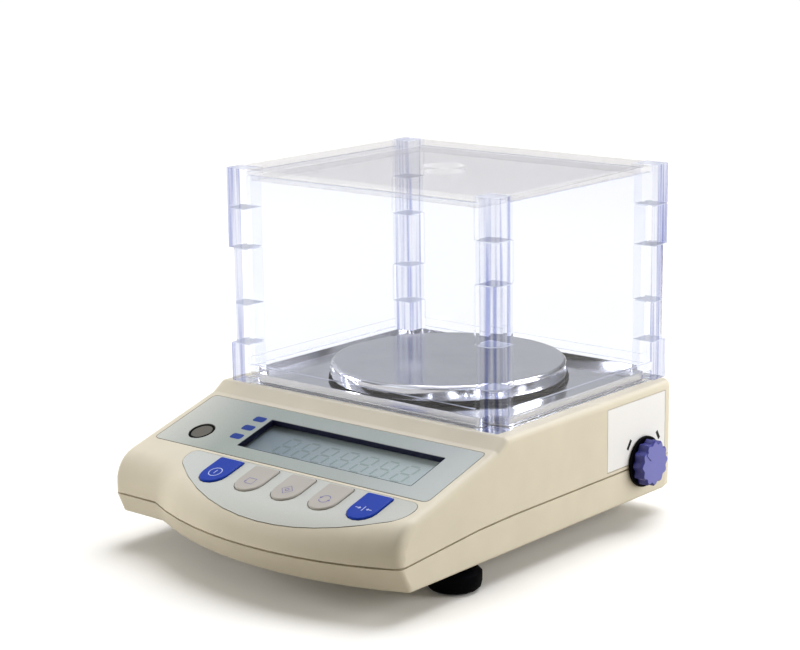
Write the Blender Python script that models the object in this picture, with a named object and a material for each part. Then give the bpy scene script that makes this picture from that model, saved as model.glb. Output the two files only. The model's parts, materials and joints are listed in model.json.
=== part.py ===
"""Electronic balance with a clear draft shield, at rest. Lengths are in metres, +Z is up.

The pieces are placed from the centre of the pan on the case's flat deck. X runs to the right, Y to the
rear. The empty named balance puts the middle of the whole object's footprint at the world's origin.
"""

import math

import bmesh
import bpy
from mathutils import Matrix, Vector

# Gaps between pieces, and how far a cut runs past what it cuts
GAP = 0.0003
OVERRUN = 0.002
MERGE = 0.000001

# Counts of steps on round shapes
CORNER_STEPS = 3
NOSE_STEPS = 6
SIDE_STEPS = 8
BULGE_STEPS = 6
ROUND = 40
MEDIUM = 24
SMALL = 16
TINY = 8

# Case: plan, deck and console
HALF_WIDTH = 0.0913
REAR_Y = 0.0698
REAR_CORNER = 0.012
WING_Y = -0.1435
BULGE_REACH = 0.0179
BULGE_MARGIN = 0.0125
BULGE_X = 0.0158
DECK_HEIGHT = 0.0672
DECK_FRONT_Y = -0.0695
RISER_RUN = 0.0071
RISER_DROP = 0.00474
CONSOLE_ANGLE = math.radians(16.6)
EDGE_ROUND = 0.003
CREASE_ROUND = 0.004
NOSE_ROUND = 0.015
LEAST_CORNER = 0.0008

# Case: shells and the seam between them
CASE_DEPTH = 0.0543
PARTING_DEPTH = 0.037
PARTING_FALL = 0.0053
PARTING_START_Y = -0.07
PARTING_RUN = 0.095
SEAM = 0.0009
WALL = 0.0025
LOWER_WALL = 0.004
FLOOR_THICKNESS = 0.0025
TONGUE_HEIGHT = 0.002
DRAFT = 0.0003
BASE_ROUND = 0.0018
FRONT_TUCK = 0.006
WING_TUCK = 0.003
WING_LIFT = 0.0026
WING_BLEND = 0.03
LIFT_START_Y = -0.12
LIFT_RUN = 0.014
BASE_BORDER = 0.008

# Films on the case
FILM_THICKNESS = 0.0006
FILM_PROUD = 0.0001
LABEL_MARGIN = 0.00525
LABEL_LENGTH = 0.0439
LABEL_CENTRE_X = 0.00035
LABEL_TOP = 0.003
LABEL_CORNER = 0.0025
SHEET_TOP = 0.049
SHEET_LENGTH = 0.0363
SHEET_MARGIN_LEFT = 0.0185
SHEET_MARGIN_RIGHT = 0.0230
SHEET_ARC = 0.111
SHEET_END_SHARE = 0.85
SIDE_LABEL_FRONT_Y = 0.0083
SIDE_LABEL_LENGTH = 0.0493
SIDE_LABEL_TOP = 0.0038
SIDE_LABEL_HEIGHT = 0.031

# Display
WINDOW_CENTRE_X = 0.0166
WINDOW_MARGIN = 0.0373
WINDOW_LENGTH = 0.0256
WINDOW_TOP = 0.0129
WINDOW_CORNER = 0.0008
PANE_BORDER = 0.0038
PANE_THICKNESS = 0.001
LCD_THICKNESS = 0.0036

# Keys, on the sheet below the display
KEY_NAMES = ("power_key", "menu_key", "select_key", "unit_key", "zero_key")
KEY_PAINTS = ("key_blue", "key_beige", "key_beige", "key_beige", "key_blue")
KEY_CENTRE_X = 0.0172
KEY_PITCH_SHARE = 0.2508
KEY_WIDTH = 0.0152
KEY_LENGTH = 0.0203
KEY_TOP = 0.0501
KEY_CORNER = 0.0015
KEY_PROUD = 0.0009
KEY_EDGE = 0.0005
KEY_CLEARANCE = 0.0004
KEY_SEAT_GAP = 0.0006
KEY_FLANGE = 0.0008
KEY_FLANGE_THICKNESS = 0.0008
KEY_TRAVEL = 0.0006

# Display board and the rubber mat that the keys press
BOARD_THICKNESS = 0.0016
BOARD_MARGIN_LEFT = 0.0373
BOARD_MARGIN_RIGHT = 0.0073
BOARD_TOP = 0.010
BOARD_LENGTH = 0.054
BOARD_BOSS_RADIUS = 0.003
BOARD_BOSS_INSET = 0.0052
MAT_THICKNESS = 0.0008
MAT_LENGTH = 0.013
MAT_BORDER = 0.009
DOME_RADIUS = 0.004
DOME_CLEARANCE = 0.0002

# Bubble level
LEVEL_MARGIN = 0.0258
LEVEL_TOP = 0.0338
LEVEL_RADIUS = 0.0063
LEVEL_WALL = 0.001
LEVEL_FLANGE = 0.0022
LEVEL_FLANGE_THICKNESS = 0.0012
LEVEL_DEPTH = 0.0095
LEVEL_FLOOR = 0.0015
VIAL_DEPTH = 0.0055

# Tray, draft ring and pan
TRAY_SHEET = 0.0008
TRAY_HEIGHT = 0.0048
TRAY_CORNER = 0.002
RING_RADIUS = 0.060
RING_WIDTH = 0.0105
RING_THICKNESS = 0.0014
RING_LIP_RADIUS = 0.0563
RING_LIP_THICKNESS = 0.0012
RING_LIP_HEIGHT = 0.0052
PAN_RADIUS = 0.059
PAN_HEIGHT = 0.0108
PAN_SKIRT = 0.0075
PAN_ROUND = 0.002
PAN_SHEET = 0.0008
SUPPORT_REACH = 0.045
SUPPORT_ARM = 0.008
SUPPORT_THICKNESS = 0.003
HUB_RADIUS = 0.009
PAN_SHAFT_RADIUS = 0.005
SHAFT_CLEARANCE = 0.002
CUSHION_RADIUS = 0.0435
CUSHION_WIDTH = 0.005
CUSHION_THICKNESS = 0.0014

# Draft shield
SHIELD_MARGIN = 0.0069
SHIELD_HALF_Y = 0.069
SHIELD_HEIGHT = 0.108
POST = 0.012
KNUCKLE_BITE = 0.0008
KNUCKLE_SHARES = (0, 0.185, 0.37, 0.63, 0.815, 1)
SMALL_CHAMFER = 0.001
LARGE_CHAMFER = 0.0046
PANEL_INSET = 0.0015
PANEL_THICKNESS = 0.0028
RAIL_BOTTOM = 0.0055
RAIL_HEIGHT = 0.0045
RAIL_PROUD = 0.001
TAB_OFFSET = 0.020
TAB_WIDTH = 0.0044
TAB_HEIGHT = 0.0046
LID_THICKNESS = 0.003
LIP_HEIGHT = 0.003
LIP_WIDTH = 0.0025
FINGER_RADIUS = 0.01025
FINGER_Y = -0.002

# Feet
FOOT_MARGIN = 0.013
FOOT_REAR_MARGIN = 0.0383
FOOT_FRONT_Y = -0.0932
FOOT_REAR_Y = 0.042
FOOT_RADIUS = 0.0129
FOOT_ROUND = 0.0037
FOOT_CHAMFER_WIDTH = 0.0024
FOOT_CHAMFER_HEIGHT = 0.0023
FOOT_CLEARANCE = 0.0022
FOOT_RECESS = 0.0022
PAD_RADIUS = 0.0086
STUD_RADIUS = 0.004
STUD_LENGTH = 0.0076
FOOT_BOSS_RADIUS = 0.0075
FOOT_BOSS_HEIGHT = 0.0044

# Chassis plate and the screws that hold it
CHASSIS_MARGIN = 0.0273
CHASSIS_FRONT_Y = -0.072
CHASSIS_REAR_MARGIN = 0.0078
CHASSIS_RISE = 0.0048
CHASSIS_THICKNESS = 0.003
CHASSIS_BOSS_RADIUS = 0.004
CHASSIS_SCREW_INSET_X = 0.008
CHASSIS_SCREW_INSET_FRONT = 0.012
CHASSIS_SCREW_INSET_REAR = 0.006
SCREW_RADIUS = 0.0015
SCREW_HEAD_RADIUS = 0.003
SCREW_HEAD_HEIGHT = 0.0018
SCREW_REACH = 0.0035

# Load cell, its bolts and the sensing element
CELL_PAD_HEIGHT = 0.0034
CELL_PAD_LENGTH = 0.020
CELL_HALF_WIDTH = 0.0125
CELL_FRONT_Y = -0.070
CELL_REAR_Y = 0.014
CELL_HEIGHT = 0.022
CELL_FLEXURE = 0.0055
CELL_WINDOW_FRONT = 0.020
CELL_WINDOW_REAR = 0.026
CELL_BOLT_RADIUS = 0.0025
CELL_BOLT_HEAD_RADIUS = 0.0045
CELL_BOLT_HEAD_HEIGHT = 0.003
CELL_BOLT_REACH = 0.010
CELL_BOLT_EDGE = 0.006
SENSOR_HALF_WIDTH = 0.008
SENSOR_LENGTH = 0.020
SENSOR_HEIGHT = 0.007

# Knob, shaft and cam, whose axis runs along X
KNOB_Y = 0.0383
KNOB_DEPTH = 0.0355
KNOB_REACH = 0.0079
KNOB_TIP_RADIUS = 0.0116
KNOB_VALLEY_RADIUS = 0.0102
KNOB_LOBES = 12
KNOB_LOBE_STEPS = 6
KNOB_EDGE = 0.0008
POINTER_HEIGHT = 0.0004
POINTER_WIDTH = 0.0022
POINTER_START = 0.0045
POINTER_ANGLE = math.radians(47)
SKIRT_RADIUS = 0.0127
SKIRT_THICKNESS = 0.0015
SHAFT_RADIUS = 0.003
SHAFT_MARGIN = 0.0693
KNOB_BORE = 0.003
CAM_MARGIN = 0.0513
CAM_WIDTH = 0.006
CAM_HIGH = 0.009
CAM_LOW = 0.0062
CAM_BASE = 0.0052
CAM_SWEEP = math.radians(94)
CAM_STEPS = 16

# Bearing bracket of the shaft
BRACKET_MARGIN = 0.0673
BRACKET_WIDTH = 0.038
BRACKET_HALF_LENGTH = 0.0145
BRACKET_SHEET = 0.0015
EAR_THICKNESS = 0.002
EAR_HALF_LENGTH = 0.0073
EAR_TOP = 0.0055
GUIDE_MARGIN = 0.0583
GUIDE_OFFSET = 0.0115
GUIDE_RADIUS = 0.0015
GUIDE_HEIGHT = 0.0235

# Calibration weight, its lifter and the arm that takes it
WEIGHT_RADIUS = 0.0085
WEIGHT_LENGTH = 0.040
JOURNAL_RADIUS = 0.003
JOURNAL_LENGTH = 0.006
LIFTER_HALF_LENGTH = 0.0142
LIFTER_LEFT = 0.014
LIFTER_RIGHT = 0.014
LIFTER_THICKNESS = 0.002
CRADLE_HALF_WIDTH = 0.009
CRADLE_HALF_LENGTH = 0.0095
CRADLE_HEIGHT = 0.006
CRADLE_FLOOR = 0.0006
ARM_SHEET = 0.003
ARM_WIDTH = 0.0025
ARM_HEIGHT = 0.0155
ARM_REACH = 0.0062
ARM_PLATE_HEIGHT = 0.022
ARM_TOP = 0.001
ARM_BOLT_REACH = 0.008

# Main board and what the rear wall holds
MAIN_MARGIN_LEFT = 0.0293
MAIN_MARGIN_RIGHT = 0.0773
MAIN_FRONT_Y = 0.016
MAIN_REAR_GAP = 0.001
MAIN_RISE = 0.0069
MAIN_PEG_INSET = 0.0035
MAIN_PEG_REAR = 0.020
STANDOFF_RADIUS = 0.003
PEG_RADIUS = 0.001
PEG_REACH = 0.0009
CHIP_SIZE = 0.012
CHIP_HEIGHT = 0.0016
CAN_RADIUS = 0.004
CAN_HEIGHT = 0.009
INLET_X = 0.0205
INLET_WIDTH = 0.009
INLET_LENGTH = 0.0142
INLET_HEIGHT = 0.011
INLET_BARREL_RADIUS = 0.0043
INLET_BORE_RADIUS = 0.0033
INLET_BORE_DEPTH = 0.010
INLET_PIN_RADIUS = 0.001
INLET_PIN_LENGTH = 0.0045
SERIAL_X = 0.045
SERIAL_FLANGE_WIDTH = 0.031
SERIAL_FLANGE_HEIGHT = 0.0125
SERIAL_FLANGE_THICKNESS = 0.001
SERIAL_SHELL_WIDTH = 0.0169
SERIAL_SHELL_HEIGHT = 0.0084
SERIAL_SHELL_TAPER = 0.0015
SERIAL_REACH = 0.0033
SERIAL_BODY_WIDTH = 0.019
SERIAL_BODY_LENGTH = 0.011
NUT_OFFSET = 0.0125
NUT_RADIUS = 0.0029
NUT_SHANK_RADIUS = 0.0014
NUT_SHANK_LENGTH = 0.005

# Screws that join the shells
JOIN_LEVEL = 0.0386
JOIN_REAR_MARGIN = 0.0103
JOIN_REAR_INSET = 0.0095
JOIN_LEFT_MARGIN = 0.0153
JOIN_LEFT_Y = -0.131
JOIN_RIGHT_MARGIN = 0.0398
JOIN_RIGHT_Y = -0.1435
JOIN_POST_RADIUS = 0.0045
JOIN_BOSS_RADIUS = 0.004
JOIN_SINK = 0.0103
JOIN_REACH = 0.008

# Flat cable between the boards
CABLE_MARGIN = 0.0563
CABLE_WIDTH = 0.014
CABLE_THICKNESS = 0.0008
CABLE_LOW = 0.0412
CABLE_FRONT_Y = -0.079
CABLE_LAND = 0.006
CABLE_RISE_Y = 0.008

# Widths and places along X that follow the case's half width
BULGE_HALF = HALF_WIDTH - BULGE_MARGIN
BULGE_RADIUS = (BULGE_HALF**2 + BULGE_REACH**2) / (2 * BULGE_REACH)
BULGE_Y = WING_Y - BULGE_REACH + BULGE_RADIUS
LABEL_WIDTH = 2 * (HALF_WIDTH - LABEL_MARGIN)
SHEET_LEFT = HALF_WIDTH - SHEET_MARGIN_LEFT
SHEET_RIGHT = HALF_WIDTH - SHEET_MARGIN_RIGHT
WINDOW_WIDTH = 2 * (HALF_WIDTH - WINDOW_MARGIN)
KEY_PITCH = HALF_WIDTH * KEY_PITCH_SHARE
BOARD_LEFT = HALF_WIDTH - BOARD_MARGIN_LEFT
BOARD_RIGHT = HALF_WIDTH - BOARD_MARGIN_RIGHT
LEVEL_X = LEVEL_MARGIN - HALF_WIDTH
SHIELD_HALF_X = HALF_WIDTH - SHIELD_MARGIN
FOOT_X = HALF_WIDTH - FOOT_MARGIN
FOOT_REAR_X = HALF_WIDTH - FOOT_REAR_MARGIN
CHASSIS_HALF_X = HALF_WIDTH - CHASSIS_MARGIN
SHAFT_START_X = HALF_WIDTH - SHAFT_MARGIN
CAM_X = HALF_WIDTH - CAM_MARGIN
BRACKET_X = HALF_WIDTH - BRACKET_MARGIN
GUIDE_X = HALF_WIDTH - GUIDE_MARGIN
MAIN_LEFT = HALF_WIDTH - MAIN_MARGIN_LEFT
MAIN_RIGHT = HALF_WIDTH - MAIN_MARGIN_RIGHT
JOIN_REAR_X = HALF_WIDTH - JOIN_REAR_MARGIN
JOIN_LEFT_X = JOIN_LEFT_MARGIN - HALF_WIDTH
JOIN_RIGHT_X = HALF_WIDTH - JOIN_RIGHT_MARGIN
CABLE_X = CABLE_MARGIN - HALF_WIDTH

# Heights and places worked out from the sizes above, from the deck and the pan's centre
CREASE_Y = DECK_FRONT_Y - RISER_RUN
CREASE_Z = -RISER_DROP
FILM_DEPTH = FILM_THICKNESS + GAP - FILM_PROUD
CASE_LOW = -CASE_DEPTH
KNUCKLE_LEVELS = [SHIELD_HEIGHT * share for share in KNUCKLE_SHARES]
CHASSIS_REAR_Y = REAR_Y - CHASSIS_REAR_MARGIN
JOIN_REAR_Y = REAR_Y - JOIN_REAR_INSET
CASE_FLOOR = CASE_LOW + FLOOR_THICKNESS
CHASSIS_LOW = CASE_FLOOR + CHASSIS_RISE + GAP
CHASSIS_TOP = CHASSIS_LOW + CHASSIS_THICKNESS
CELL_LOW = CHASSIS_TOP + CELL_PAD_HEIGHT + GAP
CELL_TOP = CELL_LOW + CELL_HEIGHT
CELL_WINDOW_START_Y = CELL_FRONT_Y + CELL_WINDOW_FRONT
CELL_WINDOW_END_Y = CELL_REAR_Y - CELL_WINDOW_REAR
KNOB_Z = -KNOB_DEPTH
KNOB_FACE_X = HALF_WIDTH + KNOB_REACH
SKIRT_X = HALF_WIDTH + FILM_PROUD + GAP
TRAY_LOW = GAP
TRAY_FLOOR = TRAY_LOW + TRAY_SHEET
PAN_LOW = PAN_HEIGHT - PAN_SHEET
CUSHION_LOW = PAN_LOW - GAP - CUSHION_THICKNESS
SUPPORT_TOP = CUSHION_LOW - GAP
SUPPORT_LOW = SUPPORT_TOP - SUPPORT_THICKNESS
BRACKET_LOW = CHASSIS_TOP + GAP
BRACKET_TOP = BRACKET_LOW + BRACKET_SHEET
LIFTER_LOW = KNOB_Z + CAM_HIGH + GAP
LIFTER_TOP = LIFTER_LOW + LIFTER_THICKNESS
WEIGHT_Z = LIFTER_TOP + CRADLE_FLOOR + GAP + WEIGHT_RADIUS
WEIGHT_X = CAM_X + CAM_WIDTH / 2
LIFT = CAM_HIGH - CAM_LOW
PANE_DEPTH = WALL + GAP
LCD_DEPTH = PANE_DEPTH + PANE_THICKNESS + GAP
BOARD_DEPTH = LCD_DEPTH + LCD_THICKNESS + GAP
KEY_FLANGE_DEPTH = WALL + KEY_SEAT_GAP
KEY_DEPTH = KEY_FLANGE_DEPTH + KEY_FLANGE_THICKNESS
KEY_V = -KEY_TOP - KEY_LENGTH / 2
MAIN_LOW = CHASSIS_TOP + MAIN_RISE + GAP
MAIN_TOP = MAIN_LOW + BOARD_THICKNESS
MAIN_REAR_Y = REAR_Y - LOWER_WALL - MAIN_REAR_GAP
SOCKET_LOW = MAIN_TOP + GAP
INNER_REAR_Y = REAR_Y - WALL - GAP
SHELL_Y = REAR_Y + SERIAL_REACH
CORNER_X = SHIELD_HALF_X - POST - GAP - KNUCKLE_BITE
CORNER_Y = SHIELD_HALF_Y - POST - GAP - KNUCKLE_BITE
PANEL_FACE_X = SHIELD_HALF_X - PANEL_INSET
PANEL_FACE_Y = SHIELD_HALF_Y - PANEL_INSET
PANEL_TOP = SHIELD_HEIGHT - LID_THICKNESS - GAP
NOSE_Y = BULGE_Y - BULGE_RADIUS
CENTRE_X = (KNOB_FACE_X - HALF_WIDTH) / 2
CENTRE_Y = (SHELL_Y + NOSE_Y) / 2

# Colour, roughness, metallic and alpha of each material
PAINTS = {
    "cream_plastic": ((0.74, 0.67, 0.51), 0.42, 0, 1),
    "display_film": ((0.60, 0.65, 0.62), 0.35, 0, 1),
    "white_film": ((0.86, 0.86, 0.85), 0.4, 0, 1),
    "clear_plastic": ((0.83, 0.86, 0.95), 0.08, 0, 0.3),
    "clear_lid": ((0.80, 0.81, 0.83), 0.1, 0, 0.4),
    "pane": ((0.80, 0.84, 0.85), 0.05, 0, 0.3),
    "lcd_grey": ((0.35, 0.42, 0.41), 0.3, 0, 1),
    "key_blue": ((0.03, 0.08, 0.50), 0.4, 0, 1),
    "key_beige": ((0.56, 0.52, 0.46), 0.45, 0, 1),
    "knob_violet": ((0.13, 0.11, 0.52), 0.4, 0, 1),
    "dark_plastic": ((0.02, 0.02, 0.03), 0.45, 0, 1),
    "brushed_steel": ((0.62, 0.62, 0.61), 0.25, 1, 1),
    "plated_steel": ((0.55, 0.55, 0.56), 0.35, 1, 1),
    "aluminium": ((0.70, 0.71, 0.72), 0.4, 1, 1),
    "brass": ((0.72, 0.52, 0.22), 0.3, 1, 1),
    "rubber": ((0.015, 0.015, 0.015), 0.8, 0, 1),
    "grey_rubber": ((0.22, 0.22, 0.23), 0.8, 0, 1),
    "circuit_board": ((0.02, 0.17, 0.06), 0.5, 0, 1),
    "grey_plastic": ((0.40, 0.40, 0.41), 0.5, 0, 1),
    "vial": ((0.70, 0.80, 0.45), 0.1, 0, 0.5),
}


def clear_scene():
    for old in list(bpy.data.objects):
        bpy.data.objects.remove(old)


def make_paints():
    """One Principled material for each entry of the table of paints."""
    made = {}
    for name, (colour, roughness, metallic, alpha) in PAINTS.items():
        paint = bpy.data.materials.new(name)
        paint.use_nodes = True
        shader = paint.node_tree.nodes["Principled BSDF"]
        shader.inputs["Base Color"].default_value = (*colour, 1)
        shader.inputs["Roughness"].default_value = roughness
        shader.inputs["Metallic"].default_value = metallic
        shader.inputs["Alpha"].default_value = alpha
        made[name] = paint
    return made


def empty(name, parent=None, at=(0, 0, 0), turn=(0, 0, 0)):
    made = bpy.data.objects.new(name, None)
    made.empty_display_size = OVERRUN
    made.parent = parent
    made.location = at
    made.rotation_euler = turn
    bpy.context.scene.collection.objects.link(made)
    return made


def place(name, shape, parent, at, turn):
    """The object of a shape, with its faces turned out and its round faces smooth."""
    bmesh.ops.recalc_face_normals(shape, faces=shape.faces[:])
    mesh = bpy.data.meshes.new(name)
    shape.to_mesh(mesh)
    shape.free()
    mesh.shade_smooth()
    mesh.set_sharp_from_angle(angle=math.radians(35))
    made = bpy.data.objects.new(name, mesh)
    made.parent = parent
    made.location = at
    made.rotation_euler = turn
    bpy.context.scene.collection.objects.link(made)
    return made


def piece(name, shape, paint, parent, at=(0, 0, 0), turn=(0, 0, 0)):
    """A piece of the balance."""
    made = place(name, shape, parent, at, turn)
    made.data.materials.append(paint)
    return made


def helper(name, shape, parent, at=(0, 0, 0), turn=(0, 0, 0)):
    """A shape that only cuts or joins."""
    made = place(name, shape, parent, at, turn)
    made.hide_render = True
    made.display_type = "WIRE"
    return made


def combine(target, other, operation):
    modifier = target.modifiers.new(other.name, "BOOLEAN")
    modifier.operation = operation
    modifier.solver = "EXACT"
    modifier.object = other


def cut(target, *others):
    for other in others:
        combine(target, other, "DIFFERENCE")


def fuse(target, *others):
    for other in others:
        combine(target, other, "UNION")


def points_2d(*pairs):
    return [Vector(pair) for pair in pairs]


def corner_arc(before, corner, after, radius, steps):
    """The arc that rounds one corner of a path."""
    into = (corner - before).normalized()
    away = (after - corner).normalized()
    turn = math.atan2(into.cross(away), into.dot(away))
    start = corner - into * (radius * math.tan(abs(turn) / 2))
    centre = start + Vector((-into.y, into.x)) * math.copysign(radius, turn)
    spoke = start - centre
    return [centre + Matrix.Rotation(turn * k / steps, 2) @ spoke for k in range(steps + 1)]


def rounded(corners, radii, steps=CORNER_STEPS):
    """The path with an arc at each corner that has a radius. Its ends have none when it is open."""
    path = []
    count = len(corners)
    for k, (corner, radius) in enumerate(zip(corners, radii)):
        if radius:
            ahead = corners[(k + 1) % count]
            path += corner_arc(corners[k - 1], corner, ahead, radius, steps)
        else:
            path.append(corner)
    return path


def offset_path(path, distance):
    """The open path moved to its left, mitred at its corners."""
    normals = []
    for start, end in zip(path, path[1:]):
        along = (end - start).normalized()
        normals.append(Vector((-along.y, along.x)))
    moved = [path[0] + normals[0] * distance]
    for corner, one, other in zip(path[1:], normals, normals[1:]):
        moved.append(corner + (one + other) * (distance / (1 + one.dot(other))))
    moved.append(path[-1] + normals[-1] * distance)
    return moved


def rectangle(width, length, radius=0, centre=(0, 0)):
    x, y = centre
    right = x + width / 2
    left = x - width / 2
    far = y + length / 2
    near = y - length / 2
    corners = points_2d((left, near), (right, near), (right, far), (left, far))
    return rounded(corners, [radius] * 4)


def circle(radius, steps, centre=(0, 0)):
    x, y = centre
    angles = [math.tau * k / steps for k in range(steps)]
    return points_2d(*((x + radius * math.cos(a), y + radius * math.sin(a)) for a in angles))


def add_loft(shape, rings):
    """A closed solid through rings of equal counts, with a flat face on its first and last ring."""
    rows = [[shape.verts.new(point) for point in ring] for ring in rings]
    for row, following in zip(rows, rows[1:]):
        for k in range(len(row)):
            after = (k + 1) % len(row)
            shape.faces.new((row[k], row[after], following[after], following[k]))
    shape.faces.new(rows[0][::-1])
    shape.faces.new(rows[-1])
    return shape


def add_prism(shape, outline, low, high):
    """The XY outline, extruded from low to high along Z."""
    return add_loft(shape, [[(x, y, z) for x, y in outline] for z in (low, high)])


def add_box(shape, low, high):
    middle = [(a + b) / 2 for a, b in zip(low, high)]
    size = [b - a for a, b in zip(low, high)]
    outline = rectangle(size[0], size[1], 0, middle[:2])
    return add_prism(shape, outline, low[2], high[2])


def add_pins(shape, centres, radius, low, high, steps=SMALL):
    """A round pin along Z at each of the centres."""
    for centre in centres:
        add_prism(shape, circle(radius, steps, centre), low, high)
    return shape


def add_turned(shape, profile, steps):
    """A closed loop of (radius, z) points, spun about Z. Points on the axis become poles."""
    verts = [shape.verts.new((radius, 0, z)) for radius, z in profile]
    pairs = zip(verts, verts[1:] + verts[:1])
    edges = [shape.edges.new(pair) for pair in pairs if not (pair[0].co.x == 0 and pair[1].co.x == 0)]
    bmesh.ops.spin(
        shape, geom=verts + edges, cent=(0, 0, 0), axis=(0, 0, 1), angle=math.tau, steps=steps, use_merge=True
    )
    bmesh.ops.remove_doubles(shape, verts=shape.verts[:], dist=MERGE)
    return shape


def box(low, high):
    return add_box(bmesh.new(), low, high)


def prism(outline, low, high):
    return add_prism(bmesh.new(), outline, low, high)


def pins(centres, radius, low, high, steps=SMALL):
    return add_pins(bmesh.new(), centres, radius, low, high, steps)


def turned(profile, steps):
    return add_turned(bmesh.new(), profile, steps)


def screw(radius, reach, head_radius, head_height, sides=TINY):
    """A screw whose shank runs along its own +Z, with its head below zero."""
    profile = [
        (0, -head_height),
        (head_radius, -head_height),
        (head_radius, 0),
        (radius, 0),
        (radius, reach),
        (0, reach),
    ]
    return turned(profile, sides)


def mirrored(x, *ys):
    """Places at both sides of the middle plane."""
    return [(side * x, y) for y in ys for side in (-1, 1)]


# The case's surfaces


def parting_z(y):
    """Height of the line between the shells, which falls towards the front."""
    share = min(max((PARTING_START_Y - y) / PARTING_RUN, 0), 1)
    return -PARTING_DEPTH - PARTING_FALL * share * share * (3 - 2 * share)


def console_z(y):
    return CREASE_Z + (y - CREASE_Y) * math.tan(CONSOLE_ANGLE)


def front_y(x, inset=0):
    """Y of the case's front: a flat wing at the left, then the bulge's arc."""
    arc = BULGE_Y - math.sqrt((BULGE_RADIUS - inset) ** 2 - (x - BULGE_X) ** 2)
    return min(arc, WING_Y + inset)


def wing_end_x(inset=0):
    """Where the wing meets the bulge."""
    rise = BULGE_Y - WING_Y - inset
    return BULGE_X - math.sqrt((BULGE_RADIUS - inset) ** 2 - rise**2)


def bulge_steps(inset, end_x):
    """X places along the bulge, from the wing's end to end_x."""
    start = wing_end_x(inset)
    rising = [start + (BULGE_X - start) * k / BULGE_STEPS for k in range(BULGE_STEPS)]
    falling = [BULGE_X + (end_x - BULGE_X) * k / BULGE_STEPS for k in range(BULGE_STEPS + 1)]
    return rising + falling


def case_stations(inset, rounding):
    """(x, drop) of each section across the upper case. Drop lowers the section near the sides."""
    start = HALF_WIDTH - REAR_CORNER
    straight = HALF_WIDTH - inset - rounding
    ends = []
    for k in range(CORNER_STEPS):
        ends.append((start + (straight - start) * math.sin(math.pi / 2 * k / CORNER_STEPS), 0))
    if rounding:
        for k in range(CORNER_STEPS + 1):
            angle = math.pi / 2 * k / CORNER_STEPS
            ends.append((straight + rounding * math.sin(angle), rounding * (1 - math.cos(angle))))
    else:
        ends.append((straight, 0))
    left = [(-x, drop) for x, drop in reversed(ends)]
    middle = [(x, 0) for x in bulge_steps(inset, ends[0][0])[:-1]]
    return left + middle + ends


def rear_y(x, inset=0):
    """Y of the case's rear, with its round corners, moved in by inset."""
    across = max(abs(x) - HALF_WIDTH + REAR_CORNER, 0)
    return REAR_Y - REAR_CORNER + math.sqrt(max((REAR_CORNER - inset) ** 2 - across**2, 0))


def case_path(x, drop, inset, low_front, low_rear):
    """The YZ path of the upper case's skin, from the rear's lower edge over the top to the front's."""
    front = front_y(x, inset) + drop - inset
    rear = rear_y(x, inset) + inset
    corners = points_2d(
        (rear, low_rear),
        (rear, -drop),
        (DECK_FRONT_Y, -drop),
        (CREASE_Y, CREASE_Z - drop),
        (front, console_z(front) - drop),
        (front, low_front),
    )
    corners = offset_path(corners, inset)
    path = [corners[0]]
    path += corner_arc(*corners[0:3], EDGE_ROUND - inset, CORNER_STEPS)
    path += corner_arc(*corners[1:4], EDGE_ROUND - inset, CORNER_STEPS)
    path += corner_arc(*corners[2:5], CREASE_ROUND + inset, CORNER_STEPS)
    path += corner_arc(*corners[3:6], NOSE_ROUND - inset, NOSE_STEPS)
    path.append(corners[5])
    return path


def upper_outside():
    """The solid inside the upper case's outer skin, closed along the seam."""
    rings = []
    for x, drop in case_stations(0, EDGE_ROUND):
        front = front_y(x) + drop
        rear = rear_y(x)
        path = case_path(x, drop, 0, parting_z(front) + SEAM / 2, parting_z(rear) + SEAM / 2)
        for k in range(1, SIDE_STEPS):
            y = front + (rear - front) * k / SIDE_STEPS
            path.append(Vector((y, parting_z(y) + SEAM / 2)))
        rings.append([(x, y, z) for y, z in path])
    return add_loft(bmesh.new(), rings)


def upper_inside():
    """The room inside the upper case, which runs out below the seam."""
    low = -PARTING_DEPTH - PARTING_FALL - OVERRUN
    rings = []
    for x, drop in case_stations(WALL, 0):
        rings.append([(x, y, z) for y, z in case_path(x, drop, WALL, low, low)])
    return add_loft(bmesh.new(), rings)


def wing_share(x):
    """1 on the wing, and less and less along the bulge."""
    return 1 - min(max((x - wing_end_x()) / WING_BLEND, 0), 1)


def base_lift(x, y):
    """How far the lower case's bottom rises under the wing's front edge."""
    return WING_LIFT * wing_share(x) * min(max((LIFT_START_Y - y) / LIFT_RUN, 0), 1)


def plan_ring(inset, height, tucked=0):
    """The case's plan, moved in by inset, with its front tucked in at 1. height gives Z from X and Y."""

    def tuck(x):
        return tucked * (FRONT_TUCK + (WING_TUCK - FRONT_TUCK) * wing_share(x))

    half = HALF_WIDTH - inset
    rear = REAR_Y - inset
    wing = WING_Y + inset + tuck(-half)
    corner = max(EDGE_ROUND - inset, LEAST_CORNER)
    rear_corner = max(REAR_CORNER - inset, LEAST_CORNER)
    right_front = front_y(half, inset) + tuck(half)
    shares = [k / SIDE_STEPS for k in range(1, SIDE_STEPS)]
    corners = [(-half, rear, rear_corner)]
    corners += [(-half, rear + (wing - rear) * share, 0) for share in shares]
    corners += [(-half, wing, corner)]
    corners += [(x, front_y(x, inset) + tuck(x), 0) for x in bulge_steps(inset, half)[:-1]]
    corners += [(half, right_front, corner)]
    corners += [(half, right_front + (rear - right_front) * share, 0) for share in shares]
    corners += [(half, rear, rear_corner)]
    path = rounded([Vector((x, y)) for x, y, _ in corners], [radius for _, _, radius in corners])
    return [(x, y, height(x, y)) for x, y in path]


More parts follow.
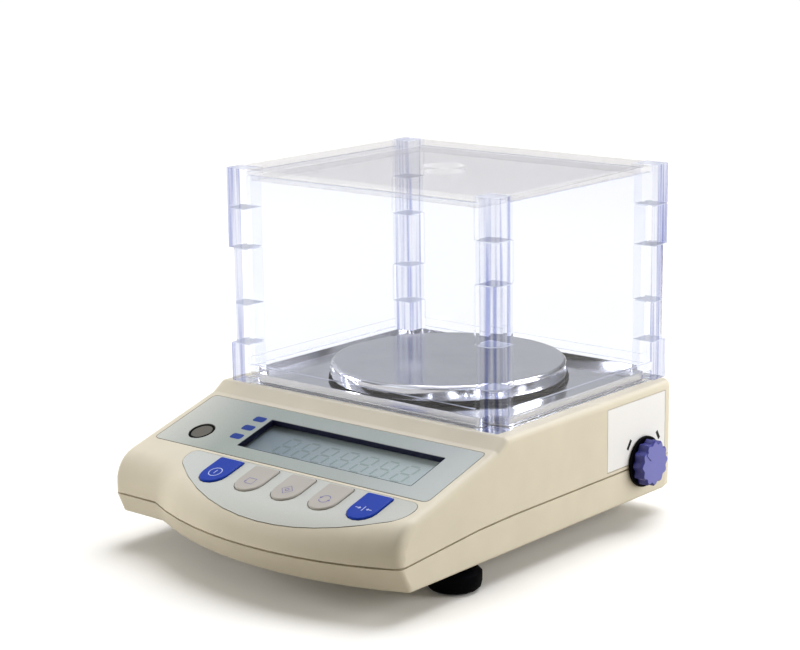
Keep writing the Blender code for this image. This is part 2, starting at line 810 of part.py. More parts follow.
def lower_tray():
    """The lower case: rounded outside, a tongue above the seam, and the room inside."""

    def edge(x, y):
        return parting_z(y) - SEAM / 2

    def tongue(x, y):
        return parting_z(y) + TONGUE_HEIGHT

    rings = [plan_ring(DRAFT + BASE_ROUND + BASE_BORDER, lambda x, y: CASE_LOW, 1)]
    for k in range(CORNER_STEPS + 1):
        angle = math.pi / 2 * k / CORNER_STEPS
        inset = DRAFT + BASE_ROUND * (1 - math.sin(angle))
        level = CASE_LOW + BASE_ROUND * (1 - math.cos(angle))
        rings.append(plan_ring(inset, lambda x, y, level=level: level + base_lift(x, y), 1))
    rings.append(plan_ring(0, edge))
    rings.append(plan_ring(WALL + GAP, edge))
    rings.append(plan_ring(WALL + GAP, tongue))
    rings.append(plan_ring(LOWER_WALL, tongue))
    rings.append(plan_ring(LOWER_WALL, lambda x, y: CASE_FLOOR + base_lift(x, y), 1))
    rings.append(plan_ring(LOWER_WALL + BASE_BORDER, lambda x, y: CASE_FLOOR, 1))
    return add_loft(bmesh.new(), rings)


def skin_point(x, along, height):
    """A point of the console's skin: along is the way down from the crease, height is out of the skin."""
    front = front_y(x)
    sine, cosine = math.sin(CONSOLE_ANGLE), math.cos(CONSOLE_ANGLE)
    start = (CREASE_Y - front - NOSE_ROUND * (1 - sine)) / cosine
    flat = min(along, start)
    y = CREASE_Y - flat * cosine
    z = CREASE_Z - flat * sine
    bend = CONSOLE_ANGLE + max(along - start, 0) / NOSE_ROUND
    y -= NOSE_ROUND * (math.sin(bend) - sine)
    z -= NOSE_ROUND * (cosine - math.cos(bend))
    return x, y - height * math.sin(bend), z + height * math.cos(bend)


def sheet_fall(across):
    """How far the key sheet's lower edge rises at a distance from its middle."""
    return SHEET_ARC - math.sqrt(SHEET_ARC**2 - across**2)


def film_sheet(grow, low, high):
    """The key sheet's outline, grown, as a solid that follows the console's skin."""
    end_steps = 2 * CORNER_STEPS
    columns = []
    for side, reach in ((-1, SHEET_LEFT), (1, SHEET_RIGHT)):
        limit = reach + grow
        radius = SHEET_END_SHARE * (SHEET_LENGTH - sheet_fall(reach)) / 2 + grow
        half = []
        for k in range(1, NOSE_STEPS):
            half.append((side * (limit - radius) * k / NOSE_STEPS, 0))
        for k in range(end_steps + 1):
            angle = math.pi / 2 * k / end_steps
            across = limit - radius + radius * math.sin(angle)
            half.append((side * across, radius * (1 - math.cos(angle))))
        columns += half[::-1] if side < 0 else [(0, 0)] + half
    rings = []
    for across, trim in columns:
        top = SHEET_TOP - grow + trim
        bottom = SHEET_TOP + SHEET_LENGTH - sheet_fall(across) + grow - trim
        steps = [top + (bottom - top) * k / NOSE_STEPS for k in range(NOSE_STEPS + 1)]
        x = KEY_CENTRE_X + across
        ring = [skin_point(x, along, high) for along in steps]
        ring += [skin_point(x, along, low) for along in reversed(steps)]
        rings.append(ring)
    return add_loft(bmesh.new(), rings)


def key_outline(grow):
    """Straight top, round bottom, centred on the key."""
    half = KEY_WIDTH / 2 + grow
    top = KEY_LENGTH / 2 + grow
    centre = -KEY_LENGTH / 2 + KEY_WIDTH / 2
    corner = KEY_CORNER + grow
    path = rounded(points_2d((half, top), (-half, top)), [0, 0])
    right = corner_arc(Vector((half, centre)), path[0], path[1], corner, CORNER_STEPS)
    left = corner_arc(path[0], path[1], Vector((-half, centre)), corner, CORNER_STEPS)
    bottom = []
    for k in range(TINY + 1):
        angle = math.pi + math.pi * k / TINY
        bottom.append(Vector((half * math.cos(angle), centre + half * math.sin(angle))))
    return right + left + bottom


def key_places():
    middle = (len(KEY_NAMES) - 1) / 2
    return [(KEY_CENTRE_X + (k - middle) * KEY_PITCH, KEY_V) for k in range(len(KEY_NAMES))]


# Cutters that more than one piece shares


def make_cutters(root, console):
    """The openings that run through both the case and the films."""
    window = rectangle(
        WINDOW_WIDTH,
        WINDOW_LENGTH,
        WINDOW_CORNER,
        (WINDOW_CENTRE_X, -WINDOW_TOP - WINDOW_LENGTH / 2),
    )
    keys = bmesh.new()
    for x, v in key_places():
        outline = [(x + a, v + b) for a, b in key_outline(KEY_CLEARANCE)]
        add_prism(keys, outline, -WALL - OVERRUN, OVERRUN)
    level_low = console_z(level_place()[1]) - LEVEL_DEPTH - OVERRUN
    level = pins([level_place()], LEVEL_RADIUS + GAP, level_low, 0, MEDIUM)
    shaft = pins([(0, 0)], SHAFT_RADIUS + GAP, HALF_WIDTH - LOWER_WALL - OVERRUN, HALF_WIDTH + OVERRUN)
    along_x = (0, math.pi / 2, 0)
    return {
        "window": helper("window_cut", prism(window, -WALL - OVERRUN, OVERRUN), console),
        "keys": helper("key_cuts", keys, console),
        "level": helper("level_cut", level, root),
        "shaft": helper("shaft_cut", shaft, root, (0, KNOB_Y, KNOB_Z), along_x),
    }


def level_place():
    """X and Y of the bubble level's vertical axis."""
    return LEVEL_X, CREASE_Y - LEVEL_TOP * math.cos(CONSOLE_ANGLE)


# Case


def join_places():
    return [
        (-JOIN_REAR_X, JOIN_REAR_Y),
        (JOIN_REAR_X, JOIN_REAR_Y),
        (JOIN_LEFT_X, JOIN_LEFT_Y),
        (JOIN_RIGHT_X, JOIN_RIGHT_Y),
    ]


def chassis_screw_places():
    """Places of the two screws. The chassis plate's other two corners sit on pegs."""
    x = CHASSIS_HALF_X - CHASSIS_SCREW_INSET_X
    return [
        (-x, CHASSIS_FRONT_Y + CHASSIS_SCREW_INSET_FRONT),
        (x, CHASSIS_REAR_Y - CHASSIS_SCREW_INSET_REAR),
    ]


def chassis_peg_places():
    return [(-x, y) for x, y in chassis_screw_places()]


def foot_places():
    return mirrored(FOOT_X, FOOT_FRONT_Y) + mirrored(FOOT_REAR_X, FOOT_REAR_Y)


def board_boss_places():
    far = -BOARD_TOP - BOARD_BOSS_INSET
    near = -BOARD_TOP - BOARD_LENGTH + BOARD_BOSS_INSET
    left = -BOARD_LEFT + BOARD_BOSS_INSET
    right = BOARD_RIGHT - BOARD_BOSS_INSET
    return [(left, far), (right, far), (left, near), (right, near)]


def serial_outline(grow):
    """The D shape of the connector's shell, in X and Z about its centre."""
    half = SERIAL_SHELL_WIDTH / 2
    height = SERIAL_SHELL_HEIGHT / 2
    narrow = half - SERIAL_SHELL_TAPER
    corners = points_2d((-narrow, -height), (narrow, -height), (half, height), (-half, height))
    return offset_closed(rounded(corners, [SERIAL_SHELL_TAPER] * 4), grow)


def offset_closed(outline, grow):
    """A closed outline that runs anticlockwise, grown outwards."""
    if not grow:
        return outline
    ring = [outline[-1]] + outline + [outline[0]]
    return offset_path(ring, -grow)[1:-1]


def facing_rear(shape, x, z):
    """Turns a shape whose +Z is its way out so that it faces the rear at x and z."""
    shape.transform(Matrix.Translation((x, 0, z)) @ Matrix.Rotation(-math.pi / 2, 4, "X"))
    return shape


def serial_z():
    return SOCKET_LOW + SERIAL_FLANGE_HEIGHT / 2


def inlet_z():
    return SOCKET_LOW + INLET_HEIGHT / 2


def rear_cuts():
    """The openings of the rear wall."""
    inner = REAR_Y - WALL - OVERRUN
    outer = REAR_Y + OVERRUN
    shape = facing_rear(prism(serial_outline(GAP)[::-1], inner, outer), -SERIAL_X, serial_z())
    extra = pins([(0, 0)], INLET_BARREL_RADIUS + GAP, inner, outer)
    nuts = pins([(-NUT_OFFSET, 0), (NUT_OFFSET, 0)], NUT_SHANK_RADIUS + GAP, inner, outer, TINY)
    merge_into(shape, facing_rear(extra, -INLET_X, inlet_z()))
    merge_into(shape, facing_rear(nuts, -SERIAL_X, serial_z()))
    return shape


def merge_into(shape, other):
    """Adds a separate shape to a shape."""
    mesh = bpy.data.meshes.new("merged")
    other.to_mesh(mesh)
    other.free()
    shape.from_mesh(mesh)
    bpy.data.meshes.remove(mesh)


def side_label_box(grow, start_x, end_x):
    rear = SIDE_LABEL_FRONT_Y + SIDE_LABEL_LENGTH
    low = -SIDE_LABEL_TOP - SIDE_LABEL_HEIGHT
    return box(
        (start_x, SIDE_LABEL_FRONT_Y - grow, low - grow),
        (end_x, rear + grow, -SIDE_LABEL_TOP + grow),
    )


def label_outline(grow):
    return rectangle(
        LABEL_WIDTH + 2 * grow,
        LABEL_LENGTH + 2 * grow,
        LABEL_CORNER + grow,
        (LABEL_CENTRE_X, -LABEL_TOP - LABEL_LENGTH / 2),
    )


def make_upper_case(root, console, cutters, paint):
    case = piece("upper_case", upper_outside(), paint, root)
    low = -JOIN_LEVEL + GAP
    room = helper("upper_room", upper_inside(), root)
    cut(room, helper("join_bosses", pins(join_places(), JOIN_BOSS_RADIUS, low, 0), root))
    cut(case, room)
    rear_ends = pins(join_places()[:2], JOIN_BOSS_RADIUS, low, low + JOIN_REACH)
    fuse(case, helper("join_boss_ends", rear_ends, root))
    board_low = -BOARD_DEPTH + GAP
    board_bosses = pins(board_boss_places(), BOARD_BOSS_RADIUS, board_low, -WALL / 2, SMALL)
    peg_low = -BOARD_DEPTH - BOARD_THICKNESS - PEG_REACH
    board_pegs = pins(board_boss_places(), PEG_RADIUS, peg_low, -BOARD_DEPTH + BOARD_THICKNESS, TINY)
    fuse(case, helper("board_bosses", board_bosses, console), helper("board_pegs", board_pegs, console))
    recess = prism(label_outline(GAP), -FILM_DEPTH, OVERRUN)
    cut(case, helper("label_recess", recess, console))
    cut(case, helper("sheet_recess", film_sheet(GAP, -FILM_DEPTH, OVERRUN), root))
    side = side_label_box(GAP, HALF_WIDTH - FILM_DEPTH, HALF_WIDTH + OVERRUN)
    cut(case, helper("side_recess", side, root))
    holes = bmesh.new()
    add_pins(holes, [(0, 0)], PAN_SHAFT_RADIUS + SHAFT_CLEARANCE, -WALL - OVERRUN, OVERRUN)
    add_pins(holes, join_places(), SCREW_RADIUS + GAP, low - OVERRUN, low + JOIN_REACH + GAP, TINY)
    cut(case, helper("upper_holes", holes, root))
    cut(case, helper("rear_cuts", rear_cuts(), root))
    cut(case, *cutters.values())
    return case


def make_lower_case(root, cutters, paint):
    case = piece("lower_case", lower_tray(), paint, root)
    start = CASE_FLOOR - FLOOR_THICKNESS / 2
    join_top = -JOIN_LEVEL
    posts = bmesh.new()
    add_pins(posts, foot_places(), FOOT_BOSS_RADIUS, start, CASE_FLOOR + FOOT_BOSS_HEIGHT)
    chassis_places = chassis_screw_places() + chassis_peg_places()
    add_pins(posts, chassis_places, CHASSIS_BOSS_RADIUS, start, CASE_FLOOR + CHASSIS_RISE)
    add_pins(posts, join_places(), JOIN_POST_RADIUS, start, join_top)
    fuse(case, helper("lower_posts", posts, root))
    pegs = pins(chassis_peg_places(), SCREW_RADIUS, CASE_FLOOR, CHASSIS_TOP + PEG_REACH, TINY)
    fuse(case, helper("chassis_pegs", pegs, root))
    holes = bmesh.new()
    below = CASE_LOW - OVERRUN
    head_top = CASE_LOW + JOIN_SINK
    add_pins(holes, foot_places(), STUD_RADIUS + GAP, below, CASE_FLOOR + FOOT_BOSS_HEIGHT + OVERRUN)
    add_pins(holes, join_places(), SCREW_HEAD_RADIUS + GAP, below, head_top, TINY)
    screw_low = CHASSIS_LOW - SCREW_REACH - GAP
    boss_top = CASE_FLOOR + CHASSIS_RISE
    add_pins(holes, chassis_screw_places(), SCREW_RADIUS + GAP, screw_low, boss_top + OVERRUN, TINY)
    cut(case, helper("lower_holes", holes, root))
    shanks = pins(join_places(), SCREW_RADIUS + GAP, head_top - GAP, join_top + OVERRUN, TINY)
    cut(case, helper("shank_holes", shanks, root))
    cut(case, cutters["shaft"])
    return case


def make_case_screws(root, paint):
    head_top = CASE_LOW + JOIN_SINK - GAP
    reach = -JOIN_LEVEL + GAP + JOIN_REACH - head_top
    names = ("rear_left", "rear_right", "front_left", "front_right")
    for name, (x, y) in zip(names, join_places()):
        shape = screw(SCREW_RADIUS, reach, SCREW_HEAD_RADIUS, SCREW_HEAD_HEIGHT)
        piece("case_screw_" + name, shape, paint, root, (x, y, head_top))


# Films


def make_films(root, console, cutters, paints):
    low = FILM_PROUD - FILM_THICKNESS
    label = piece("display_label", prism(label_outline(0), low, FILM_PROUD), paints["display_film"], console)
    cut(label, cutters["window"], cutters["level"])
    sheet = piece("key_sheet", film_sheet(0, low, FILM_PROUD), paints["display_film"], root)
    cut(sheet, cutters["keys"])
    side = side_label_box(0, HALF_WIDTH + low, HALF_WIDTH + FILM_PROUD)
    side_label = piece("side_label", side, paints["white_film"], root)
    cut(side_label, cutters["shaft"])


# Display, keys and their board


def pane_outline(border):
    return rectangle(
        WINDOW_WIDTH + 2 * border,
        WINDOW_LENGTH + 2 * border,
        0,
        (WINDOW_CENTRE_X, -WINDOW_TOP - WINDOW_LENGTH / 2),
    )


def make_display(console, paints):
    pane = prism(pane_outline(PANE_BORDER), -PANE_DEPTH - PANE_THICKNESS, -PANE_DEPTH)
    piece("display_window", pane, paints["pane"], console)
    lcd = prism(pane_outline(PANE_BORDER), -LCD_DEPTH - LCD_THICKNESS, -LCD_DEPTH)
    piece("lcd_panel", lcd, paints["lcd_grey"], console)
    centre = ((BOARD_RIGHT - BOARD_LEFT) / 2, -BOARD_TOP - BOARD_LENGTH / 2)
    board_outline = rectangle(BOARD_LEFT + BOARD_RIGHT, BOARD_LENGTH, 0, centre)
    board_low = -BOARD_DEPTH - BOARD_THICKNESS
    board = piece(
        "display_board", prism(board_outline, board_low, -BOARD_DEPTH), paints["circuit_board"], console
    )
    holes = pins(board_boss_places(), PEG_RADIUS + GAP, board_low - OVERRUN, -BOARD_DEPTH + OVERRUN, TINY)
    cut(board, helper("display_board_holes", holes, console))
    make_mat(console, paints)


def make_mat(console, paints):
    """The rubber mat under the keys, with a dome below each key."""
    low = -BOARD_DEPTH + GAP
    span = KEY_PITCH * (len(KEY_NAMES) - 1) + 2 * MAT_BORDER
    slab = prism(rectangle(span, MAT_LENGTH, 0, (KEY_CENTRE_X, KEY_V)), low, low + MAT_THICKNESS)
    mat = piece("keypad_mat", slab, paints["grey_rubber"], console)
    dome_top = -KEY_DEPTH - KEY_TRAVEL - DOME_CLEARANCE
    domes = pins(key_places(), DOME_RADIUS, low + MAT_THICKNESS / 2, dome_top, SMALL)
    fuse(mat, helper("mat_domes", domes, console))


def make_keys(console, paints):
    """Each key is a cap with a flange that holds it under the case's wall."""
    layers = (
        (KEY_FLANGE, -KEY_DEPTH),
        (KEY_FLANGE, -KEY_FLANGE_DEPTH),
        (0, -KEY_FLANGE_DEPTH),
        (0, KEY_PROUD - KEY_EDGE),
        (-KEY_EDGE, KEY_PROUD),
    )
    for name, paint, (x, v) in zip(KEY_NAMES, KEY_PAINTS, key_places()):
        rings = [[(a, b, z) for a, b in key_outline(grow)] for grow, z in layers]
        piece(name, add_loft(bmesh.new(), rings), paints[paint], console, (x, v, 0))


def make_level(root, console, paints):
    """A cup with an upright bore, held by a flange under the case's wall."""
    x, y = level_place()
    surface = console_z(y)
    low = surface - LEVEL_DEPTH
    cup = piece(
        "level_housing",
        pins([(0, 0)], LEVEL_RADIUS, -LEVEL_DEPTH, LEVEL_RADIUS, MEDIUM),
        paints["dark_plastic"],
        root,
        (x, y, surface),
    )
    room = LEVEL_RADIUS + OVERRUN
    above = box(
        (x - room, -LEVEL_TOP - room, 0),
        (x + room, -LEVEL_TOP + room, LEVEL_DEPTH),
    )
    cut(cup, helper("level_top_cut", above, console))
    rim = pins(
        [(x, -LEVEL_TOP)],
        LEVEL_RADIUS + LEVEL_FLANGE,
        -WALL - GAP - LEVEL_FLANGE_THICKNESS,
        -WALL - GAP,
        MEDIUM,
    )
    fuse(cup, helper("level_flange", rim, console))
    bore = pins([(x, y)], LEVEL_RADIUS - LEVEL_WALL, low + LEVEL_FLOOR, surface + LEVEL_DEPTH, MEDIUM)
    cut(cup, helper("level_bore", bore, root))
    vial = pins([(0, 0)], LEVEL_RADIUS - LEVEL_WALL - GAP, 0, VIAL_DEPTH, MEDIUM)
    piece("level_vial", vial, paints["vial"], root, (x, y, low + LEVEL_FLOOR + GAP))


# Pan and what carries it


def tray_outline(inset):
    """The tray's plan: the shield's inside, with its corners left out for the posts."""
    far_x = PANEL_FACE_X - PANEL_THICKNESS - GAP - inset
    far_y = PANEL_FACE_Y - PANEL_THICKNESS - GAP - inset
    near_x = CORNER_X - GAP - inset
    near_y = CORNER_Y - GAP - inset
    quarter = [(far_x, near_y), (near_x, near_y), (near_x, far_y)]
    corners = quarter
    corners = corners + [(-x, y) for x, y in reversed(quarter)]
    corners = corners + [(-x, -y) for x, y in quarter]
    corners = corners + [(x, -y) for x, y in reversed(quarter)]
    outer = TRAY_CORNER - inset
    inner = TRAY_CORNER + inset
    radii = [outer, inner, outer] * 4
    return rounded(points_2d(*corners), radii)


def make_tray(root, paints):
    tray = piece(
        "shield_tray", prism(tray_outline(0), TRAY_LOW, TRAY_HEIGHT), paints["brushed_steel"], root
    )
    hole = pins([(0, 0)], PAN_SHAFT_RADIUS + SHAFT_CLEARANCE, TRAY_LOW - OVERRUN, TRAY_FLOOR + OVERRUN)
    room = prism(tray_outline(TRAY_SHEET), TRAY_FLOOR, TRAY_HEIGHT + OVERRUN)
    cut(tray, helper("tray_room", room, root), helper("tray_hole", hole, root))


def make_ring(root, paints):
    """A flat ring on the tray, with a lip that stands inside the pan's skirt."""
    low = TRAY_FLOOR + GAP
    flat = low + RING_THICKNESS
    lip = low + RING_LIP_HEIGHT
    profile = [
        (RING_RADIUS, low),
        (RING_RADIUS, flat),
        (RING_LIP_RADIUS, flat),
        (RING_LIP_RADIUS, lip),
        (RING_LIP_RADIUS - RING_LIP_THICKNESS, lip),
        (RING_LIP_RADIUS - RING_LIP_THICKNESS, flat),
        (RING_RADIUS - RING_WIDTH, flat),
        (RING_RADIUS - RING_WIDTH, low),
    ]
    piece("draft_ring", turned(profile, ROUND), paints["dark_plastic"], root)


def make_pan(root, paints):
    top = PAN_HEIGHT
    skirt = top - PAN_SKIRT
    outer = corner_arc(
        Vector((0, top)), Vector((PAN_RADIUS, top)), Vector((PAN_RADIUS, skirt)), PAN_ROUND, CORNER_STEPS
    )
    inner_radius = PAN_RADIUS - PAN_SHEET
    inner = corner_arc(
        Vector((inner_radius, skirt)),
        Vector((inner_radius, PAN_LOW)),
        Vector((0, PAN_LOW)),
        PAN_ROUND - PAN_SHEET,
        CORNER_STEPS,
    )
    profile = [(0, top)] + [tuple(point) for point in outer]
    profile += [(PAN_RADIUS, skirt), (inner_radius, skirt)]
    profile += [tuple(point) for point in inner] + [(0, PAN_LOW)]
    piece("weighing_pan", turned(profile, ROUND), paints["brushed_steel"], root)


def make_support(root, paints):
    """The cross under the pan, its hub and the shaft that presses on the load cell."""
    reach = 2 * SUPPORT_REACH
    bar = rectangle(reach, SUPPORT_ARM)
    support = piece("pan_support", prism(bar, SUPPORT_LOW, SUPPORT_TOP), paints["aluminium"], root)
    other = prism(rectangle(SUPPORT_ARM, reach), SUPPORT_LOW, SUPPORT_TOP)
    hub = [
        (0, CELL_TOP + GAP),
        (PAN_SHAFT_RADIUS, CELL_TOP + GAP),
        (PAN_SHAFT_RADIUS, SUPPORT_LOW - PAN_SHEET),
        (HUB_RADIUS, SUPPORT_LOW - PAN_SHEET),
        (HUB_RADIUS, SUPPORT_TOP),
        (0, SUPPORT_TOP),
    ]
    fuse(support, helper("support_bar", other, root), helper("support_hub", turned(hub, MEDIUM), root))
    top = CUSHION_LOW + CUSHION_THICKNESS
    inner = CUSHION_RADIUS - CUSHION_WIDTH
    ring = [(CUSHION_RADIUS, CUSHION_LOW), (CUSHION_RADIUS, top), (inner, top), (inner, CUSHION_LOW)]
    piece("pan_cushion", turned(ring, ROUND), paints["rubber"], root)


# Draft shield


def knuckle_outline(x_side, y_side, chamfer, bite_x, bite_y):
    """One post's square with its outer corner cut off, as XY points."""
    inner_x = SHIELD_HALF_X - POST - bite_x
    inner_y = SHIELD_HALF_Y - POST - bite_y
    corners = [
        (inner_x, inner_y),
        (SHIELD_HALF_X, inner_y),
        (SHIELD_HALF_X, SHIELD_HALF_Y - chamfer),
        (SHIELD_HALF_X - chamfer, SHIELD_HALF_Y),
        (inner_x, SHIELD_HALF_Y),
    ]
    return [(x_side * x, y_side * y) for x, y in corners]


def add_knuckles(shape, corners, owned, bite_x, bite_y):
    chamfers = (SMALL_CHAMFER, LARGE_CHAMFER, LARGE_CHAMFER, SMALL_CHAMFER, SMALL_CHAMFER)
    last = len(chamfers) - 1
    for k in owned:
        low = KNUCKLE_LEVELS[k] + (GAP if k == 0 else GAP / 2)
        high = KNUCKLE_LEVELS[k + 1] - (0 if k == last else GAP / 2)
        for x_side, y_side in corners:
            outline = knuckle_outline(x_side, y_side, chamfers[k], bite_x, bite_y)
            add_prism(shape, outline, low, high)


def add_tabs(shape, half_length, face, along_x, side):
    """The rail's small V tabs, which hang from it on the panel's outer face."""
    top = RAIL_BOTTOM + GAP
    for end in (-1, 1):
        middle = end * (half_length - TAB_OFFSET)
        outline = [
            (middle - TAB_WIDTH / 2, top),
            (middle, top - TAB_HEIGHT),
            (middle + TAB_WIDTH / 2, top),
        ]
        inner = side * (face - PANEL_THICKNESS / 2)
        outer = side * (face + RAIL_PROUD / 2)
        if along_x:
            rings = [[(a, depth, z) for a, z in outline] for depth in (inner, outer)]
        else:
            rings = [[(depth, a, z) for a, z in outline] for depth in (inner, outer)]
        add_loft(shape, rings)


def make_panel(root, paint, name, along_x, side):
    """One wall of the shield. along_x is true for the front and the rear one."""
    bite = GAP + KNUCKLE_BITE
    if along_x:
        half_length = SHIELD_HALF_X - POST - GAP
        face = PANEL_FACE_Y
        corners = [(-1, side), (1, side)]
        owned = (0, 2, 4)
        bites = (bite, 0)
    else:
        half_length = SHIELD_HALF_Y - POST - GAP
        face = PANEL_FACE_X
        corners = [(side, -1), (side, 1)]
        owned = (1, 3)
        bites = (0, bite)
    near = sorted((side * face, side * (face - PANEL_THICKNESS)))
    rail = sorted((side * (face - PANEL_THICKNESS / 2), side * (face + RAIL_PROUD)))
    rail_top = RAIL_BOTTOM + RAIL_HEIGHT
    if along_x:
        plate = box((-half_length, near[0], GAP), (half_length, near[1], PANEL_TOP))
        bar = box((-half_length, rail[0], RAIL_BOTTOM), (half_length, rail[1], rail_top))
    else:
        plate = box((near[0], -half_length, GAP), (near[1], half_length, PANEL_TOP))
        bar = box((rail[0], -half_length, RAIL_BOTTOM), (rail[1], half_length, rail_top))
    panel = piece(name, plate, paint, root)
    knuckles = bmesh.new()
    add_knuckles(knuckles, corners, owned, *bites)
    tabs = bmesh.new()
    add_tabs(tabs, half_length, face, along_x, side)
    fuse(panel, helper(name + "_knuckles", knuckles, root))
    fuse(panel, helper(name + "_rail", bar, root))
    fuse(panel, helper(name + "_tabs", tabs, root))


def notched_outline(half_x, half_y, notch_x, notch_y):
    quarter = [(half_x, notch_y), (notch_x, notch_y), (notch_x, half_y)]
    corners = quarter
    corners = corners + [(-x, y) for x, y in reversed(quarter)]
    corners = corners + [(-x, -y) for x, y in quarter]
    corners = corners + [(x, -y) for x, y in reversed(quarter)]
    return corners


def make_lid(shield, paint):
    low = SHIELD_HEIGHT - LID_THICKNESS
    notch_x = CORNER_X - GAP
    notch_y = CORNER_Y - GAP
    outline = notched_outline(PANEL_FACE_X, PANEL_FACE_Y, notch_x, notch_y)
    lid = piece("shield_lid", prism(outline, low, SHIELD_HEIGHT), paint, shield)
    lip_y = PANEL_FACE_Y - PANEL_THICKNESS - GAP
    lip = prism(rectangle(2 * notch_x, 2 * lip_y), low - LIP_HEIGHT, low + LID_THICKNESS / 2)
    inside = prism(
        rectangle(2 * (notch_x - LIP_WIDTH), 2 * (lip_y - LIP_WIDTH)),
        low - LIP_HEIGHT - OVERRUN,
        low,
    )
    fuse(lid, helper("lid_lip", lip, shield))
    cut(lid, helper("lid_lip_room", inside, shield))
    hole = pins([(0, FINGER_Y)], FINGER_RADIUS, low - OVERRUN, SHIELD_HEIGHT + OVERRUN, MEDIUM)
    cut(lid, helper("finger_hole", hole, shield))


def make_shield(root, paints):
    clear = paints["clear_plastic"]
    make_panel(root, clear, "front_panel", True, -1)
    make_panel(root, clear, "rear_panel", True, 1)
    make_panel(root, clear, "left_panel", False, -1)
    make_panel(root, clear, "right_panel", False, 1)
    make_lid(root, paints["clear_lid"])


# Feet


def make_feet(root, paints):
    """Each foot is a rubber pad under a disc whose threaded stud turns in the lower case."""
    floor = -DECK_HEIGHT
    low = floor + GAP
    top = CASE_LOW - FOOT_CLEARANCE
    recess = low + FOOT_RECESS
    recess_radius = PAD_RADIUS + GAP
    bottom_arc = corner_arc(
        Vector((recess_radius, low)),
        Vector((FOOT_RADIUS, low)),
        Vector((FOOT_RADIUS, top)),
        FOOT_ROUND,
        CORNER_STEPS,
    )
    disc = [(0, recess), (recess_radius, recess), (recess_radius, low)]
    disc += [tuple(point) for point in bottom_arc]
    disc += [
        (FOOT_RADIUS, top - FOOT_CHAMFER_HEIGHT),
        (FOOT_RADIUS - FOOT_CHAMFER_WIDTH, top),
        (STUD_RADIUS, top),
        (STUD_RADIUS, top + STUD_LENGTH),
        (0, top + STUD_LENGTH),
    ]
    disc = [(radius, z - floor) for radius, z in disc]
    pad_top = recess - GAP
    names = ("front_left", "front_right", "rear_left", "rear_right")
    for name, (x, y) in zip(names, foot_places()):
        axis = empty("foot_" + name, root, (x, y, floor))
        pad = pins([(0, 0)], PAD_RADIUS, 0, pad_top - floor)
        piece("foot_pad_" + name, pad, paints["rubber"], axis)
        piece("foot_screw_" + name, turned(disc, SMALL), paints["dark_plastic"], axis)


# Chassis and load cell


def cell_bolt_places():
    first = CELL_FRONT_Y + CELL_BOLT_EDGE
    return [(0, first), (0, first + CELL_PAD_LENGTH / 2)]


def standoff_places():
    left = -MAIN_LEFT + MAIN_PEG_INSET
    right = -MAIN_RIGHT - MAIN_PEG_INSET
    near = MAIN_FRONT_Y + MAIN_PEG_INSET
    far = MAIN_REAR_Y - MAIN_PEG_REAR
    return [(left, near), (right, near), (left, far), (right, far)]


def make_chassis(root, paints):
    plate = box(
        (-CHASSIS_HALF_X, CHASSIS_FRONT_Y, CHASSIS_LOW), (CHASSIS_HALF_X, CHASSIS_REAR_Y, CHASSIS_TOP)
    )
    chassis = piece("chassis_plate", plate, paints["aluminium"], root)
    inside = CHASSIS_TOP - CHASSIS_THICKNESS / 2
    pad = box(
        (-CELL_HALF_WIDTH, CELL_FRONT_Y, inside),
        (CELL_HALF_WIDTH, CELL_FRONT_Y + CELL_PAD_LENGTH, CELL_LOW - GAP),
    )
    add_pins(pad, standoff_places(), STANDOFF_RADIUS, inside, MAIN_LOW - GAP)
    fuse(chassis, helper("chassis_pads", pad, root))
    pegs = pins(standoff_places(), PEG_RADIUS, CHASSIS_TOP, MAIN_TOP + PEG_REACH, TINY)
    fuse(chassis, helper("standoff_pegs", pegs, root))
    holes = bmesh.new()
    corners = chassis_screw_places() + chassis_peg_places()
    add_pins(holes, corners, SCREW_RADIUS + GAP, CHASSIS_LOW - OVERRUN, CHASSIS_TOP + OVERRUN, TINY)
    below = CHASSIS_LOW - OVERRUN
    add_pins(holes, cell_bolt_places(), CELL_BOLT_RADIUS + GAP, below, CELL_LOW + OVERRUN, TINY)
    cut(chassis, helper("chassis_holes", holes, root))
    reach = CHASSIS_THICKNESS + SCREW_REACH + GAP
    head_down = (math.pi, 0, 0)
    for name, (x, y) in zip(("front", "rear"), chassis_screw_places()):
        shape = screw(SCREW_RADIUS, reach, SCREW_HEAD_RADIUS, SCREW_HEAD_HEIGHT)
        at = (x, y, CHASSIS_TOP + GAP)
        piece("chassis_screw_" + name, shape, paints["plated_steel"], root, at, head_down)


